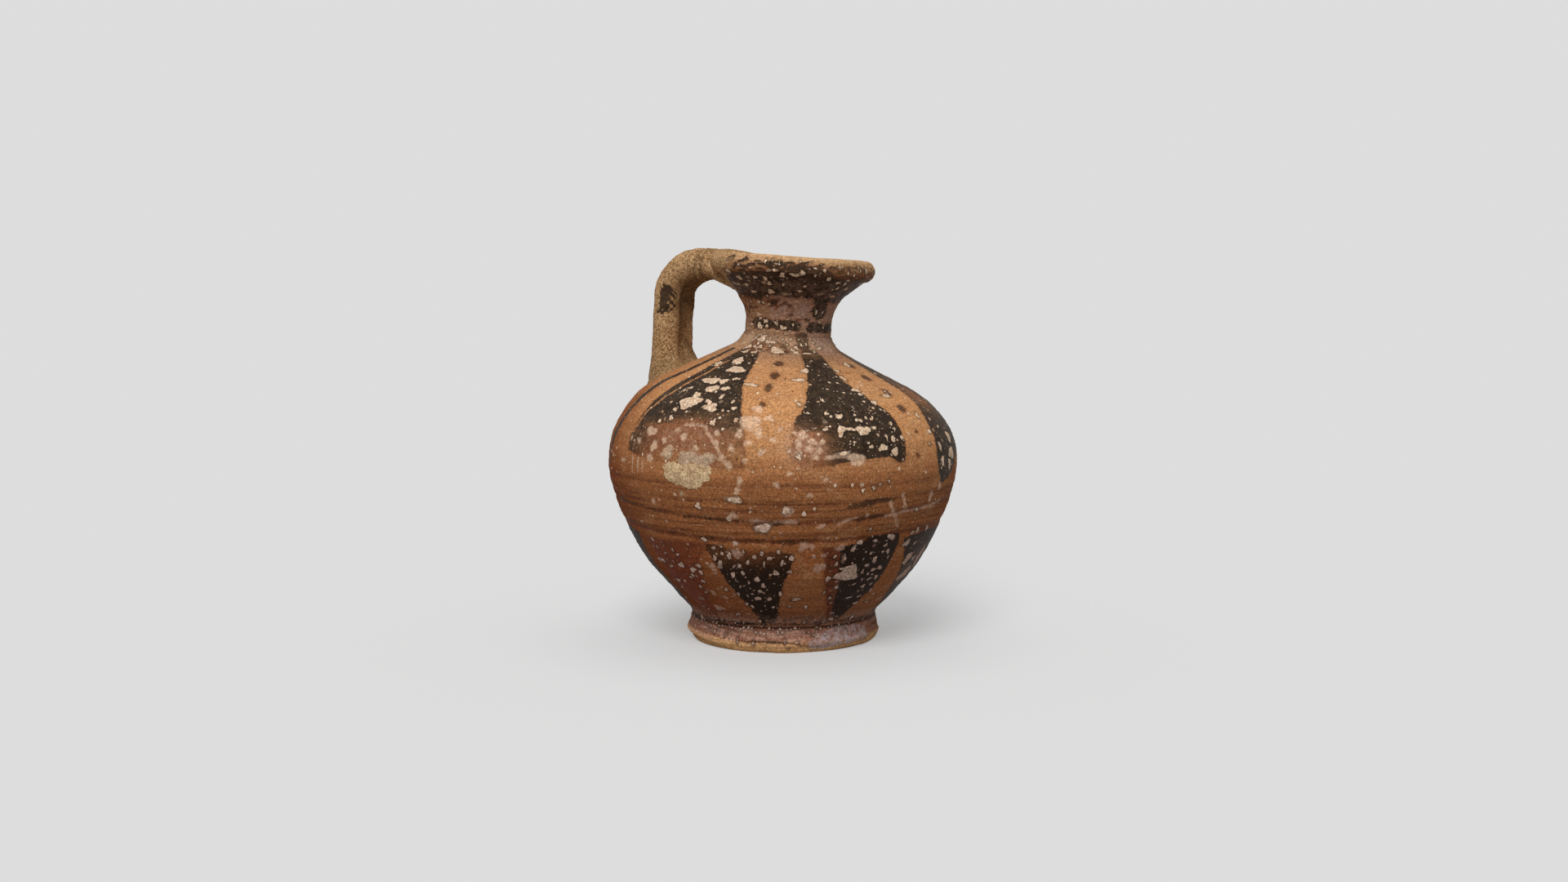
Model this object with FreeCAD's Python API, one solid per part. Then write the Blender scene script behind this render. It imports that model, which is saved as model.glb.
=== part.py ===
import FreeCAD, Part
import math
import os

# A small clay jug. It stands on its foot at the origin with its handle along -X.
# Its neck leans towards +X. Sizes are in millimetres and angles in degrees.
# Heights above the bowl are measured along the centre line of the pot, which bends with the lean.

# Body, thrown as a lower bowl and a closed-in shoulder
body_base_radius = 28.3
belly_radius = 53.0
belly_rise = 46.25
shoulder_rise = 34.0
body_wall = 4.6
floor_thickness = 6.0
body_joint_drop = 19.0
body_joint_step = 2.0
body_joint_share = 0.5

# Outline of the body, from the foot to the belly and from the belly to the neck.
# Each pair is a share of the rise and a share of the growth in radius.
lower_outline_shares = (
    (0.0, 0.0),
    (0.030, 0.012),
    (0.065, 0.071),
    (0.195, 0.301),
    (0.324, 0.503),
    (0.454, 0.652),
    (0.584, 0.773),
    (0.714, 0.879),
    (0.850, 0.957),
)
upper_outline_shares = (
    (0.0, 1.0),
    (0.140, 0.990),
    (0.272, 0.956),
    (0.404, 0.889),
    (0.537, 0.792),
    (0.669, 0.638),
    (0.765, 0.465),
    (0.882, 0.230),
    (1.0, 0.0),
)

# Ring foot, turned and luted under the body
foot_height = 7.75
foot_flare = 1.4
foot_widest_height = 3.25
foot_bevel = 1.9
foot_rest_width = 4.3
foot_wall = 6.8
foot_spigot_depth = 2.0
foot_edge_share = 0.62
foot_edge_rise_share = 0.40
foot_waist_share = 0.22

# Lean of the neck, bent in over the top of the shoulder
lean_angle = 4.5
bend_length = 28.0

# Neck, a thrown tube with a tenon in the shoulder and a spigot in the mouth
neck_length = 16.6
neck_radius = 13.2
neck_wall = 4.45
neck_tenon_depth = 4.5
neck_flare = 2.8
neck_flare_rise = 7.0
neck_flare_share = 0.30
neck_spigot_wall = 3.45
neck_spigot_rise = 1.5

# Coil of clay worked into the corner between neck and shoulder
coil_reach = 4.6
coil_rise = 4.6
coil_edge = 0.3
coil_hollow_share = 0.30

# Mouth, a funnel with a half-round lip
mouth_rise = 11.7
lip_radius = 25.0
lip_height = 6.5
lip_undercut = 3.0
lip_round = 2.1
lip_width = 4.6
lip_widest_share = 0.56
lip_inner_drop = 0.6
funnel_floor_rise = 2.4
funnel_sag = 1.2

# Handle, a strap pulled from the shoulder to the lip. The middle of its root stands on the shoulder,
# at a share of the belly's radius, and its ends are wider and thicker than the strap between them.
handle_root_share = 0.739
strap_width = 15.8
strap_thickness = 9.1
strap_round_share = 0.37
strap_crown = 0.5
strap_dent = 0.7
handle_over_lip = 1.2
handle_bend_radius = 10.8
handle_end_widening = 1.2
handle_end_thickening = 0.3
handle_root_spread = 1.5
handle_root_widening = 2.4
handle_root_thickening = 1.2
handle_root_rise = 9.0

# Clay pads pressed round the two ends of the handle
root_pad_spread = 2.5
root_pad_rise = 5.0
root_pad_sink = 2.0
root_pad_edge = 0.5
root_pad_round_share = 0.54
rim_pad_reach = 7.0
rim_pad_spread = 11.0
rim_pad_thickness = 2.2
rim_pad_sink = 0.9

# Counts of the sections that shape the bent pieces, and the overrun of the cuts
body_sections = 18
bend_sections = 4
pad_sections = 3
strap_curve_degree = 3
search_steps = 60
full_turn = 360
overrun = 2.0

# Heights along the centre line
belly_height = foot_height + belly_rise
shoulder_top_height = belly_height + shoulder_rise
body_joint_height = belly_height - body_joint_drop
neck_top_height = shoulder_top_height + neck_length
rim_height = neck_top_height + mouth_rise

# Sizes that follow from the fits between the pieces
foot_spigot_radius = body_base_radius - foot_wall
foot_spigot_height = foot_height - foot_spigot_depth
shoulder_top_radius = neck_radius + coil_reach
neck_top_radius = neck_radius + neck_flare
neck_bore_radius = neck_radius - neck_wall
neck_spigot_radius = neck_bore_radius + neck_spigot_wall
neck_tenon_height = shoulder_top_height - neck_tenon_depth
handle_root_reach = handle_root_share * belly_radius
handle_root_width = strap_width + handle_root_widening
handle_root_thickness = strap_thickness + handle_root_thickening
handle_end_width = strap_width + handle_end_widening
handle_end_thickness = strap_thickness + handle_end_thickening
handle_top_reach = handle_root_reach - handle_root_spread
lean = math.radians(lean_angle)
bend_start = shoulder_top_height - bend_length
bend_radius = bend_length / lean
upright = math.pi / 2


def vec(x, y, z):
    return FreeCAD.Vector(x, y, z)


def centre_line(height):
    """Point and lean of the centre line at a height measured along it."""
    turn = min(max((height - bend_start) / bend_radius, 0), lean)
    beyond = height - bend_start - bend_radius * turn
    across = bend_radius * (1 - math.cos(turn)) + beyond * math.sin(turn)
    up = bend_start + bend_radius * math.sin(turn) + beyond * math.cos(turn)
    return vec(across, 0, up), turn


def handle_side(radius, height):
    """Point on the handle's side of the pot, from its radius and its height along the centre line."""
    centre, turn = centre_line(height)
    return centre + vec(-math.cos(turn), 0, math.sin(turn)) * radius


def body_outline():
    """Outer outline of the body as one curve."""
    points = []
    for rise_share, growth_share in lower_outline_shares:
        radius = body_base_radius + growth_share * (belly_radius - body_base_radius)
        points.append(vec(radius, 0, foot_height + rise_share * belly_rise))
    for rise_share, growth_share in upper_outline_shares:
        radius = shoulder_top_radius + growth_share * (belly_radius - shoulder_top_radius)
        points.append(vec(radius, 0, belly_height + rise_share * shoulder_rise))
    curve = Part.BSplineCurve()
    curve.interpolate(points)
    return curve


outline = body_outline()


def outer_at(place):
    """Point of the outer outline at a place along the curve."""
    return outline.value(place)


def inner_at(place):
    """Point of the inner outline, one wall inside the outer one."""
    tangent = outline.tangent(place)[0]
    return outline.value(place) + vec(-tangent.z, 0, tangent.x) * body_wall


def solve(function, low, high):
    """Place between low and high where a steady function passes zero."""
    rising = function(high) > function(low)
    for step in range(search_steps):
        middle = (low + high) / 2
        if (function(middle) > 0) == rising:
            high = middle
        else:
            low = middle
    return (low + high) / 2


def place_at_height(point_at, height):
    return solve(lambda place: point_at(place).z - height, outline.FirstParameter, outline.LastParameter)


def samples(point_at, first, last):
    return [point_at(first + (last - first) * i / (body_sections - 1)) for i in range(body_sections)]


def curve_through(points):
    curve = Part.BSplineCurve()
    curve.interpolate(points)
    return curve.toShape()


def lines(*points):
    return Part.makePolygon(list(points)).Edges


def arc(first, middle, last):
    return Part.Arc(first, middle, last).toShape()


def spin(edges):
    """Solid turned about the upright axis from a closed outline."""
    wire = Part.Wire(Part.sortEdges(edges)[0])
    return Part.Face(wire).revolve(vec(0, 0, 0), vec(0, 0, 1), full_turn)


def lean_over(shape):
    """Move a shape that stands on the upright axis over to the leaning axis of the neck."""
    centre, turn = centre_line(shoulder_top_height)
    shape.translate(vec(0, 0, -shoulder_top_height))
    shape.rotate(vec(0, 0, 0), vec(0, 1, 0), math.degrees(turn))
    shape.translate(centre)
    return shape


def bent_solid(points):
    """Solid through circles that stand square to the bent centre line."""
    rings = []
    for point in points:
        centre, turn = centre_line(point.z)
        ring = Part.makeCircle(point.x)
        ring.rotate(vec(0, 0, 0), vec(0, 1, 0), math.degrees(turn))
        ring.translate(centre)
        rings.append(Part.Wire(ring))
    return Part.makeLoft(rings, True, False)


def make_foot_ring():
    foot_radius = body_base_radius + foot_flare
    rest_radius = foot_radius - foot_bevel
    rest_inner = vec(rest_radius - foot_rest_width, 0, 0)
    rest_outer = vec(rest_radius, 0, 0)
    edge = vec(rest_radius + foot_edge_share * foot_bevel, 0, foot_edge_rise_share * foot_widest_height)
    widest = vec(foot_radius, 0, foot_widest_height)
    waist_height = (foot_widest_height + foot_height) / 2
    waist = vec(body_base_radius + foot_waist_share * foot_flare, 0, waist_height)
    top_outer = vec(body_base_radius, 0, foot_height)
    top_inner = vec(foot_spigot_radius, 0, foot_height)
    step = vec(foot_spigot_radius, 0, foot_spigot_height)
    edges = lines(top_outer, top_inner, step, rest_inner, rest_outer)
    edges += [arc(rest_outer, edge, widest), arc(widest, waist, top_outer)]
    return spin(edges)


def joint_step_radius():
    """Radius of the step between bowl and shoulder, inside their wall."""
    outer = outer_at(place_at_height(outer_at, body_joint_height))
    inner = inner_at(place_at_height(inner_at, body_joint_height + body_joint_step))
    return inner.x + body_joint_share * (outer.x - inner.x)


def make_lower_body():
    joint_place = place_at_height(outer_at, body_joint_height)
    outer = samples(outer_at, outline.FirstParameter, joint_place)
    floor_place = place_at_height(inner_at, foot_spigot_height + floor_thickness)
    step_place = place_at_height(inner_at, body_joint_height + body_joint_step)
    inner = samples(inner_at, floor_place, step_place)
    step_low = vec(joint_step_radius(), 0, body_joint_height)
    step_high = step_low + vec(0, 0, body_joint_step)
    edges = [curve_through(outer), curve_through(inner)]
    edges += lines(outer[-1], step_low, step_high, inner[-1])
    edges += lines(
        inner[0],
        vec(0, 0, inner[0].z),
        vec(0, 0, foot_spigot_height),
        vec(foot_spigot_radius, 0, foot_spigot_height),
        vec(foot_spigot_radius, 0, foot_height),
        outer[0],
    )
    return spin(edges)


def make_shoulder_block():
    """The shoulder before it is hollowed."""
    joint_place = place_at_height(outer_at, body_joint_height)
    return bent_solid(samples(outer_at, joint_place, outline.LastParameter))


def make_shoulder(block):
    below = place_at_height(inner_at, body_joint_height)
    hollow = bent_solid(samples(inner_at, below, outline.LastParameter))
    step_base = vec(0, 0, body_joint_height - overrun)
    step = Part.makeCylinder(joint_step_radius(), body_joint_step + overrun, step_base)
    tenon_base = vec(0, 0, neck_tenon_height - overrun)
    tenon = lean_over(Part.makeCylinder(neck_radius, neck_tenon_depth + 2 * overrun, tenon_base))
    return block.cut(hollow).cut(step).cut(tenon)


def make_neck_coil():
    top_radius = neck_radius + coil_edge
    hollow_radius = top_radius + coil_hollow_share * (shoulder_top_radius - top_radius)
    seat_outer = vec(shoulder_top_radius, 0, shoulder_top_height)
    hollow = vec(hollow_radius, 0, shoulder_top_height + coil_rise / 2)
    top_outer = vec(top_radius, 0, shoulder_top_height + coil_rise)
    top_inner = vec(neck_radius, 0, top_outer.z)
    seat_inner = vec(neck_radius, 0, shoulder_top_height)
    edges = [arc(seat_outer, hollow, top_outer)]
    edges += lines(top_outer, top_inner, seat_inner, seat_outer)
    return lean_over(spin(edges))


def make_neck():
    flare_start = vec(neck_radius, 0, neck_top_height - neck_flare_rise)
    flare_middle = flare_start + vec(neck_flare_share * neck_flare, 0, neck_flare_rise / 2)
    flare_end = vec(neck_top_radius, 0, neck_top_height)
    spigot_top = neck_top_height + neck_spigot_rise
    edges = [arc(flare_start, flare_middle, flare_end)]
    edges += lines(
        flare_end,
        vec(neck_spigot_radius, 0, neck_top_height),
        vec(neck_spigot_radius, 0, spigot_top),
        vec(neck_bore_radius, 0, spigot_top),
        vec(neck_bore_radius, 0, neck_tenon_height),
        vec(neck_radius, 0, neck_tenon_height),
        flare_start,
    )
    return lean_over(spin(edges))


def mouth_side():
    """Outer side of the mouth, from the neck joint up over the lip to the rim."""
    joint = vec(neck_top_radius, 0, neck_top_height)
    lip_low = vec(lip_radius - lip_undercut, 0, rim_height - lip_height)
    lip_widest = vec(lip_radius, 0, lip_low.z + lip_widest_share * lip_height)
    rim = vec(lip_radius - lip_round, 0, rim_height)
    return joint, rim, lines(joint, lip_low) + [arc(lip_low, lip_widest, rim)]


def make_mouth():
    joint, rim, edges = mouth_side()
    spigot_top = neck_top_height + neck_spigot_rise
    lip_inner = vec(lip_radius - lip_width, 0, rim_height - lip_inner_drop)
    funnel_foot = vec(neck_bore_radius, 0, neck_top_height + funnel_floor_rise)
    funnel_middle = (lip_inner + funnel_foot) / 2 + vec(funnel_sag, 0, -funnel_sag)
    edges += lines(rim, lip_inner) + [arc(lip_inner, funnel_middle, funnel_foot)]
    edges += lines(
        funnel_foot,
        vec(neck_bore_radius, 0, spigot_top),
        vec(neck_spigot_radius, 0, spigot_top),
        vec(neck_spigot_radius, 0, neck_top_height),
        joint,
    )
    return lean_over(spin(edges))


def make_mouth_block():
    """The mouth with its funnel filled and carried up past the handle."""
    joint, rim, edges = mouth_side()
    top = rim_height + handle_over_lip + overrun
    edges += lines(rim, vec(rim.x, 0, top), vec(0, 0, top), vec(0, 0, joint.z), joint)
    return lean_over(spin(edges))


def strap_section(centre, angle, width, thickness, round_share):
    """Closed outline of a strap with rounded edges, square to a path that rises at the angle from +X."""
    out = vec(-math.sin(angle), 0, math.cos(angle))
    half = width / 2 - round_share * thickness
    skin = thickness / 2

    def at(across, outward):
        return centre + vec(0, across, 0) + out * outward

    outer = arc(at(-half, skin), at(0, skin + strap_crown), at(half, skin))
    right = arc(at(half, skin), at(width / 2, 0), at(half, -skin))
    inner = arc(at(half, -skin), at(0, strap_dent - skin), at(-half, -skin))
    left = arc(at(-half, -skin), at(-width / 2, 0), at(-half, skin))
    return Part.Wire([outer, right, inner, left])


def root_seat():
    """Point of the shoulder under the middle of the strap, and the fall of the shoulder there."""
    belly_place = place_at_height(outer_at, belly_height)
    place = solve(lambda place: handle_root_reach - outer_at(place).x, belly_place, outline.LastParameter)
    slope = outline.tangent(place)[0]
    return handle_side(handle_root_reach, outer_at(place).z), math.atan2(slope.z, -slope.x)


def make_strap():
    """The strap before its ends are fitted to the shoulder and the lip."""
    root, fall = root_seat()
    top = handle_side(lip_radius - lip_round, rim_height).z + handle_over_lip
    run_height = top - handle_end_thickness / 2 - strap_crown
    bend_height = run_height - handle_bend_radius
    flare_end = root.z + handle_root_rise
    sunk = vec(root.x, 0, root.z - handle_root_thickness)
    stations = [(sunk, upright, handle_root_width, handle_root_thickness)]
    for height in (flare_end, (flare_end + bend_height) / 2):
        inset = handle_root_spread * (height - root.z) / (bend_height - root.z)
        stations.append((vec(root.x + inset, 0, height), upright, strap_width, strap_thickness))
    bend_centre = vec(handle_bend_radius - handle_top_reach, 0, bend_height)
    for i in range(bend_sections + 1):
        share = i / bend_sections
        angle = upright * (1 - share)
        out = vec(-math.sin(angle), 0, math.cos(angle))
        width = strap_width + share * handle_end_widening
        thickness = strap_thickness + share * handle_end_thickening
        stations.append((bend_centre + out * handle_bend_radius, angle, width, thickness))
    end = vec(handle_side(neck_top_radius, neck_top_height).x, 0, run_height)
    stations.append((end, 0, handle_end_width, handle_end_thickness))
    sections = [strap_section(*station, strap_round_share) for station in stations]
    return Part.makeLoft(sections, True, False, False, strap_curve_degree)


def make_handle_root_pad(shoulder_block, strap):
    """Collar of clay round the foot of the strap, its planes laid along the shoulder."""
    root, fall = root_seat()
    round_share = root_pad_round_share * math.cos(fall)
    sections = []
    for i in range(pad_sections + 1):
        share = i / pad_sections
        height = root.z - root_pad_sink + share * (root_pad_sink + root_pad_rise)
        flare = 1 - share * root_pad_rise / handle_root_rise
        spread = root_pad_edge + (root_pad_spread - root_pad_edge) * (1 - share) ** 2
        width = strap_width + flare * handle_root_widening + 2 * spread
        thickness = strap_thickness + flare * handle_root_thickening
        depth = thickness / math.cos(fall) + 2 * spread
        centre = vec(root.x, 0, height)
        sections.append(strap_section(centre, upright + fall, width, depth, round_share))
    return Part.makeLoft(sections, True, False).cut(shoulder_block).cut(strap)


def make_handle_rim_pad(mouth, handle):
    """Flat lump of clay pressed over the lip where the strap ends."""
    size = FreeCAD.Matrix()
    size.scale(vec(rim_pad_reach, rim_pad_spread, rim_pad_thickness))
    lump = Part.makeSphere(1).transformGeometry(size)
    lump.translate(handle_side(lip_radius - lip_width / 2, rim_height - rim_pad_sink))
    return lump.cut(mouth).cut(handle)


shoulder_block = make_shoulder_block()
mouth = make_mouth()
strap = make_strap()
handle = strap.cut(shoulder_block).cut(make_mouth_block())
pieces = {
    "foot_ring": make_foot_ring(),
    "lower_body": make_lower_body(),
    "shoulder": make_shoulder(shoulder_block),
    "neck_coil": make_neck_coil(),
    "neck": make_neck(),
    "mouth": mouth,
    "handle": handle,
    "handle_root_pad": make_handle_root_pad(shoulder_block, strap),
    "handle_rim_pad": make_handle_rim_pad(mouth, handle),
}

os.makedirs("parts", exist_ok=True)
for name, shape in pieces.items():
    print(name, "solids", len(shape.Solids), "valid", shape.isValid(), "volume", round(shape.Volume))
    shape.Solids[0].exportStep("parts/" + name + ".step")
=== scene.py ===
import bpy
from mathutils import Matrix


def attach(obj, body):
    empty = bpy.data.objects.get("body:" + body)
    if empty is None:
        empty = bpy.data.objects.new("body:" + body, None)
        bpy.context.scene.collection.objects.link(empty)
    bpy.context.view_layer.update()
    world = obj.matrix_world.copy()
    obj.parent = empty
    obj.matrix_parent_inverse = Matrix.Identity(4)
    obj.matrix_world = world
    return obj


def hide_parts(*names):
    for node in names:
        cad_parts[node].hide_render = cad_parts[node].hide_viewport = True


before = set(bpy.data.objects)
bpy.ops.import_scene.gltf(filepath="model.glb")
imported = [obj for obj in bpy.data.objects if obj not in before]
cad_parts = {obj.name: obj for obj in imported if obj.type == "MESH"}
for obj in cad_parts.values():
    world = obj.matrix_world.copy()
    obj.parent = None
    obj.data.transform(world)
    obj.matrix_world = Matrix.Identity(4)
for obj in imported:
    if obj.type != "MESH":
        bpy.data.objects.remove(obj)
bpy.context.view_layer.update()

import math

import bpy
import numpy as np
from mathutils import Vector

# Camera: it looks at the jug from the right of its front, a little above the belly.
# Its place and lens come from the jug's outline in the photograph.
MM = 0.001
camera_turn, camera_rise = math.radians(25), math.radians(4.5)
camera_distance, camera_aim_height, camera_aim_aside = 503.75, 60.0, 0.25
lens_length, film_width, nearest_seen, farthest_seen = 37.78, 36.0, 0.01, 300.0


def way_to(turn, rise):
    """The direction from the jug to something at a turn to the right of its front, and a rise."""
    return Vector((math.sin(turn) * math.cos(rise), -math.cos(turn) * math.cos(rise), math.sin(rise)))


def aimed(name, data, way, place):
    """A camera or lamp at a place, looking back along the way to it."""
    thing = bpy.data.objects.new(name, data)
    thing.location = place
    thing.rotation_mode = "QUATERNION"
    thing.rotation_quaternion = (-way).to_track_quat("-Z", "Y")
    bpy.context.scene.collection.objects.link(thing)
    return thing


camera_right = Vector((math.cos(camera_turn), math.sin(camera_turn), 0))
camera_way = way_to(camera_turn, camera_rise)
camera_aim = (camera_right * camera_aim_aside + Vector((0, 0, camera_aim_height))) * MM
camera_data = bpy.data.cameras.new("camera")
camera_data.sensor_width, camera_data.lens = film_width, lens_length
camera_data.clip_start, camera_data.clip_end = nearest_seen, farthest_seen
camera_place = camera_aim + camera_way * camera_distance * MM
bpy.context.scene.camera = aimed("camera", camera_data, camera_way, camera_place)


# Foot ring: a low flared ring of clay, turned on the wheel and luted under the bowl with slip.
# Its rim is bevelled where it was cut from the wheel head, and it has chipped in use.
lean = math.radians(4.5)
bend_start, bend_length = 60.0, 28.0
bend_radius = bend_length / lean
turn_count = 576


def ring_points(angle, radius, height):
    """Points in mm on rings that stand square to the pot's bent centre line. Angle 0 faces the front."""
    turn = np.clip((height - bend_start) / bend_radius, 0, lean)
    beyond = height - bend_start - bend_radius * turn
    across = bend_radius * (1 - np.cos(turn)) + beyond * np.sin(turn)
    up = bend_start + bend_radius * np.sin(turn) + beyond * np.cos(turn)
    x = across + radius * np.sin(angle) * np.cos(turn)
    z = up - radius * np.sin(angle) * np.sin(turn)
    return np.stack([x, -radius * np.cos(angle), z], -1)


def lengths_along(points):
    """The length of a line up to each of its points."""
    return np.r_[0, np.cumsum(np.hypot(*np.diff(points, axis=0).T))]


def points_at(points, places):
    """Points at these lengths along a line."""
    along = lengths_along(points)
    return np.stack([np.interp(places, along, points[:, k]) for k in (0, 1)], -1)


def spaced(points, step):
    """The same line with its points a step apart."""
    points = np.asarray(points, float)
    length = lengths_along(points)[-1]
    return points_at(points, np.linspace(0, length, max(2, int(round(length / step)) + 1)))


def bow(first, middle, last, count=60):
    """Points on the arc through three points."""
    a, b, c = (complex(*p) for p in (first, middle, last))
    w = (c - a) / (b - a)
    centre = (b - a) * (w - abs(w) ** 2) / (2j * w.imag) + a
    start, way, end = (math.atan2((p - centre).imag, (p - centre).real) for p in (a, b, c))
    way = start + (way - start + math.pi) % (2 * math.pi) - math.pi
    end = way + (end - way + math.pi) % (2 * math.pi) - math.pi
    angles, radius = np.linspace(start, end, count), abs(a - centre)
    return np.stack([centre.real + radius * np.cos(angles), centre.imag + radius * np.sin(angles)], -1)


def outward_of(line):
    """The directions that stand out square from a line of (radius, height) going up the outside."""
    slope = np.gradient(line, axis=0)
    slope /= np.hypot(*slope.T)[:, None]
    return np.stack([slope[:, 1], -slope[:, 0]], -1)


def ripple(seed, count, turns, pitch):
    """An uneven skin made of waves: so many turns round the pot, and a pitch in mm up it."""
    draw = np.random.default_rng(seed)
    rounds = draw.integers(turns[0], turns[1] + 1, count)
    rises = draw.choice((-1, 1), count) * 2 * math.pi / draw.uniform(pitch[0], pitch[1], count)
    starts = draw.uniform(0, 2 * math.pi, count)
    waves = list(zip(rounds, rises, starts, draw.uniform(0.4, 1, count)))

    def at(angle, height):
        return sum(a * np.cos(m * angle + w * height + p) for m, w, p, a in waves) / math.sqrt(count / 2)

    return at


wobble = ripple(3, 7, (1, 4), (50, 180))
wheel_lines = ripple(5, 16, (0, 1), (1.1, 5.5))
finger_dents = ripple(8, 18, (4, 13), (7, 22))


def thrown_skin(angle, height):
    """How far a thrown wall strays from a true round, in mm."""
    depths = ((0.14, wobble), (0.05, wheel_lines), (0.045, finger_dents))
    return sum(depth * wave(angle, height) for depth, wave in depths)


def held(value, low=0, high=1):
    """The value kept between two limits."""
    return np.clip(value, low, high)


def near(value, centre, reach):
    """A soft bump of 1 at the centre that fades over the reach."""
    return np.exp(-((value - centre) / reach) ** 2)


def degrees_from(angle, centre):
    """Turn from a centre in degrees, between -180 and 180."""
    return (np.degrees(angle) - centre + 180) % 360 - 180


def facing(angle, centre, reach):
    """A soft bump of 1 on the side that faces a turn, fading over a reach in degrees."""
    return near(degrees_from(angle, centre), 0, reach)


def blotches(turn, height, *spots):
    """Soft ovals added up, each its strength, turn and reach in degrees, and height and reach in mm."""
    return sum(k * near(turn, t, wide) * near(height, h, tall) for k, t, wide, h, tall in spots)


def seamed_mesh(name, points, faces, marks, crisp=None):
    """A smooth-shaded object in metres, crisp along the edges whose two ends share a crisp ring."""
    mesh = bpy.data.meshes.new(name)
    mesh.from_pydata((points * MM).tolist(), [], faces)
    mesh.update()
    mesh.shade_smooth()
    if crisp is not None:
        ends = np.empty(len(mesh.edges) * 2, int)
        mesh.edges.foreach_get("vertices", ends)
        first, second = crisp[ends[::2]], crisp[ends[1::2]]
        sharp = mesh.attributes.get("sharp_edge") or mesh.attributes.new("sharp_edge", "BOOLEAN", "EDGE")
        sharp.data.foreach_set("value", (first == second) & (first >= 0))
    for mark, values in marks.items():
        kind, field = ("FLOAT_VECTOR", "vector") if values.ndim == 2 else ("FLOAT", "value")
        layer = mesh.attributes.new(mark, kind, "POINT")
        layer.data.foreach_set(field, values.astype(np.float32).ravel())
    piece = bpy.data.objects.new(name, mesh)
    bpy.context.scene.collection.objects.link(piece)
    return piece


# What each point of a thrown piece is marked with, and what it says where nothing is painted. Slip, flakes,
# haze and smears are distances in mm inside their edges, kept within a reach. The others are strengths.
mark_reach = 3
bare_marks = {
    "slip": -2.0, "fired": 0.0, "thin": 0.0, "flake": -2.0, "ochre": 0.0, "haze": -2.0, "lime": 0.2,
    "bloom": 0.0, "stain": 0.0, "streak": 0.3, "smear": -2.0,
}


def hidden(steps, *corners):
    """Straight runs between corners on faces out of sight, with the step between the rings of each."""
    return [(ends, step, False) for ends, step in zip(zip(corners, corners[1:]), steps)]


def turned(name, runs, relief, marks, closed=True):
    """A thrown piece from runs of its outline, up the outside and down the inside. Each run is a line of
    (radius, height), the step between its rings and whether its skin is uneven. Corners stay crisp."""
    outline, outward, uneven, corners = [], [], [], []
    for run, step, shaped in runs:
        line = spaced(run, step)
        for point, way in zip(line, outward_of(line)):
            if outline and np.allclose(point, outline[-1]):
                corners.append(len(outline) - 1)
                if shaped:
                    outward[-1], uneven[-1] = way, 1.0
            else:
                outline.append(point)
                outward.append(way)
                uneven.append(float(shaped))
    if closed:
        corners.append(0)
        if uneven[-1]:
            outward[0], uneven[0] = outward[-1], 1.0
        del outline[-1], outward[-1], uneven[-1]
    rows = len(outline)
    angle = np.tile(np.arange(turn_count) * 2 * math.pi / turn_count, rows)
    radius, height = np.repeat(outline, turn_count, axis=0).T
    out_r, out_h = np.repeat(outward, turn_count, axis=0).T
    skin = np.repeat(uneven, turn_count) > 0
    lift = np.zeros(len(angle))
    lift[skin] = relief(angle[skin], radius[skin], height[skin])
    points = ring_points(angle, np.maximum(radius + out_r * lift, 0), height + out_h * lift)
    grid = np.arange(rows * turn_count).reshape(rows, turn_count)
    beside = np.roll(grid, -1, axis=1)
    faces = np.stack([grid, beside, np.roll(beside, -1, axis=0), np.roll(grid, -1, axis=0)], -1)
    faces = (faces if closed else faces[1:-2]).reshape(-1, 4).tolist()
    crisp = np.where(np.isin(np.arange(rows), corners), np.arange(rows), -1).repeat(turn_count)
    keep = np.ones(len(points), bool)
    if not closed:
        for row, first, second in ((0, beside[1], grid[1]), (rows - 1, grid[-2], beside[-2])):
            keep[grid[row, 1:]] = False
            faces += [(grid[row, 0], a, b) for a, b in zip(first, second)]
    place = (np.cumsum(keep) - 1).tolist()
    faces = [[place[v] for v in face] for face in faces]
    made = {"pot": np.stack([radius * np.sin(angle), -radius * np.cos(angle), height], -1)}
    for mark, values in marks(angle[skin], radius[skin], height[skin]).items():
        made[mark] = np.full(len(angle), bare_marks[mark])
        made[mark][skin] = values
    return seamed_mesh(name, points[keep], faces, {k: v[keep] for k, v in made.items()}, crisp[keep])


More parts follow.
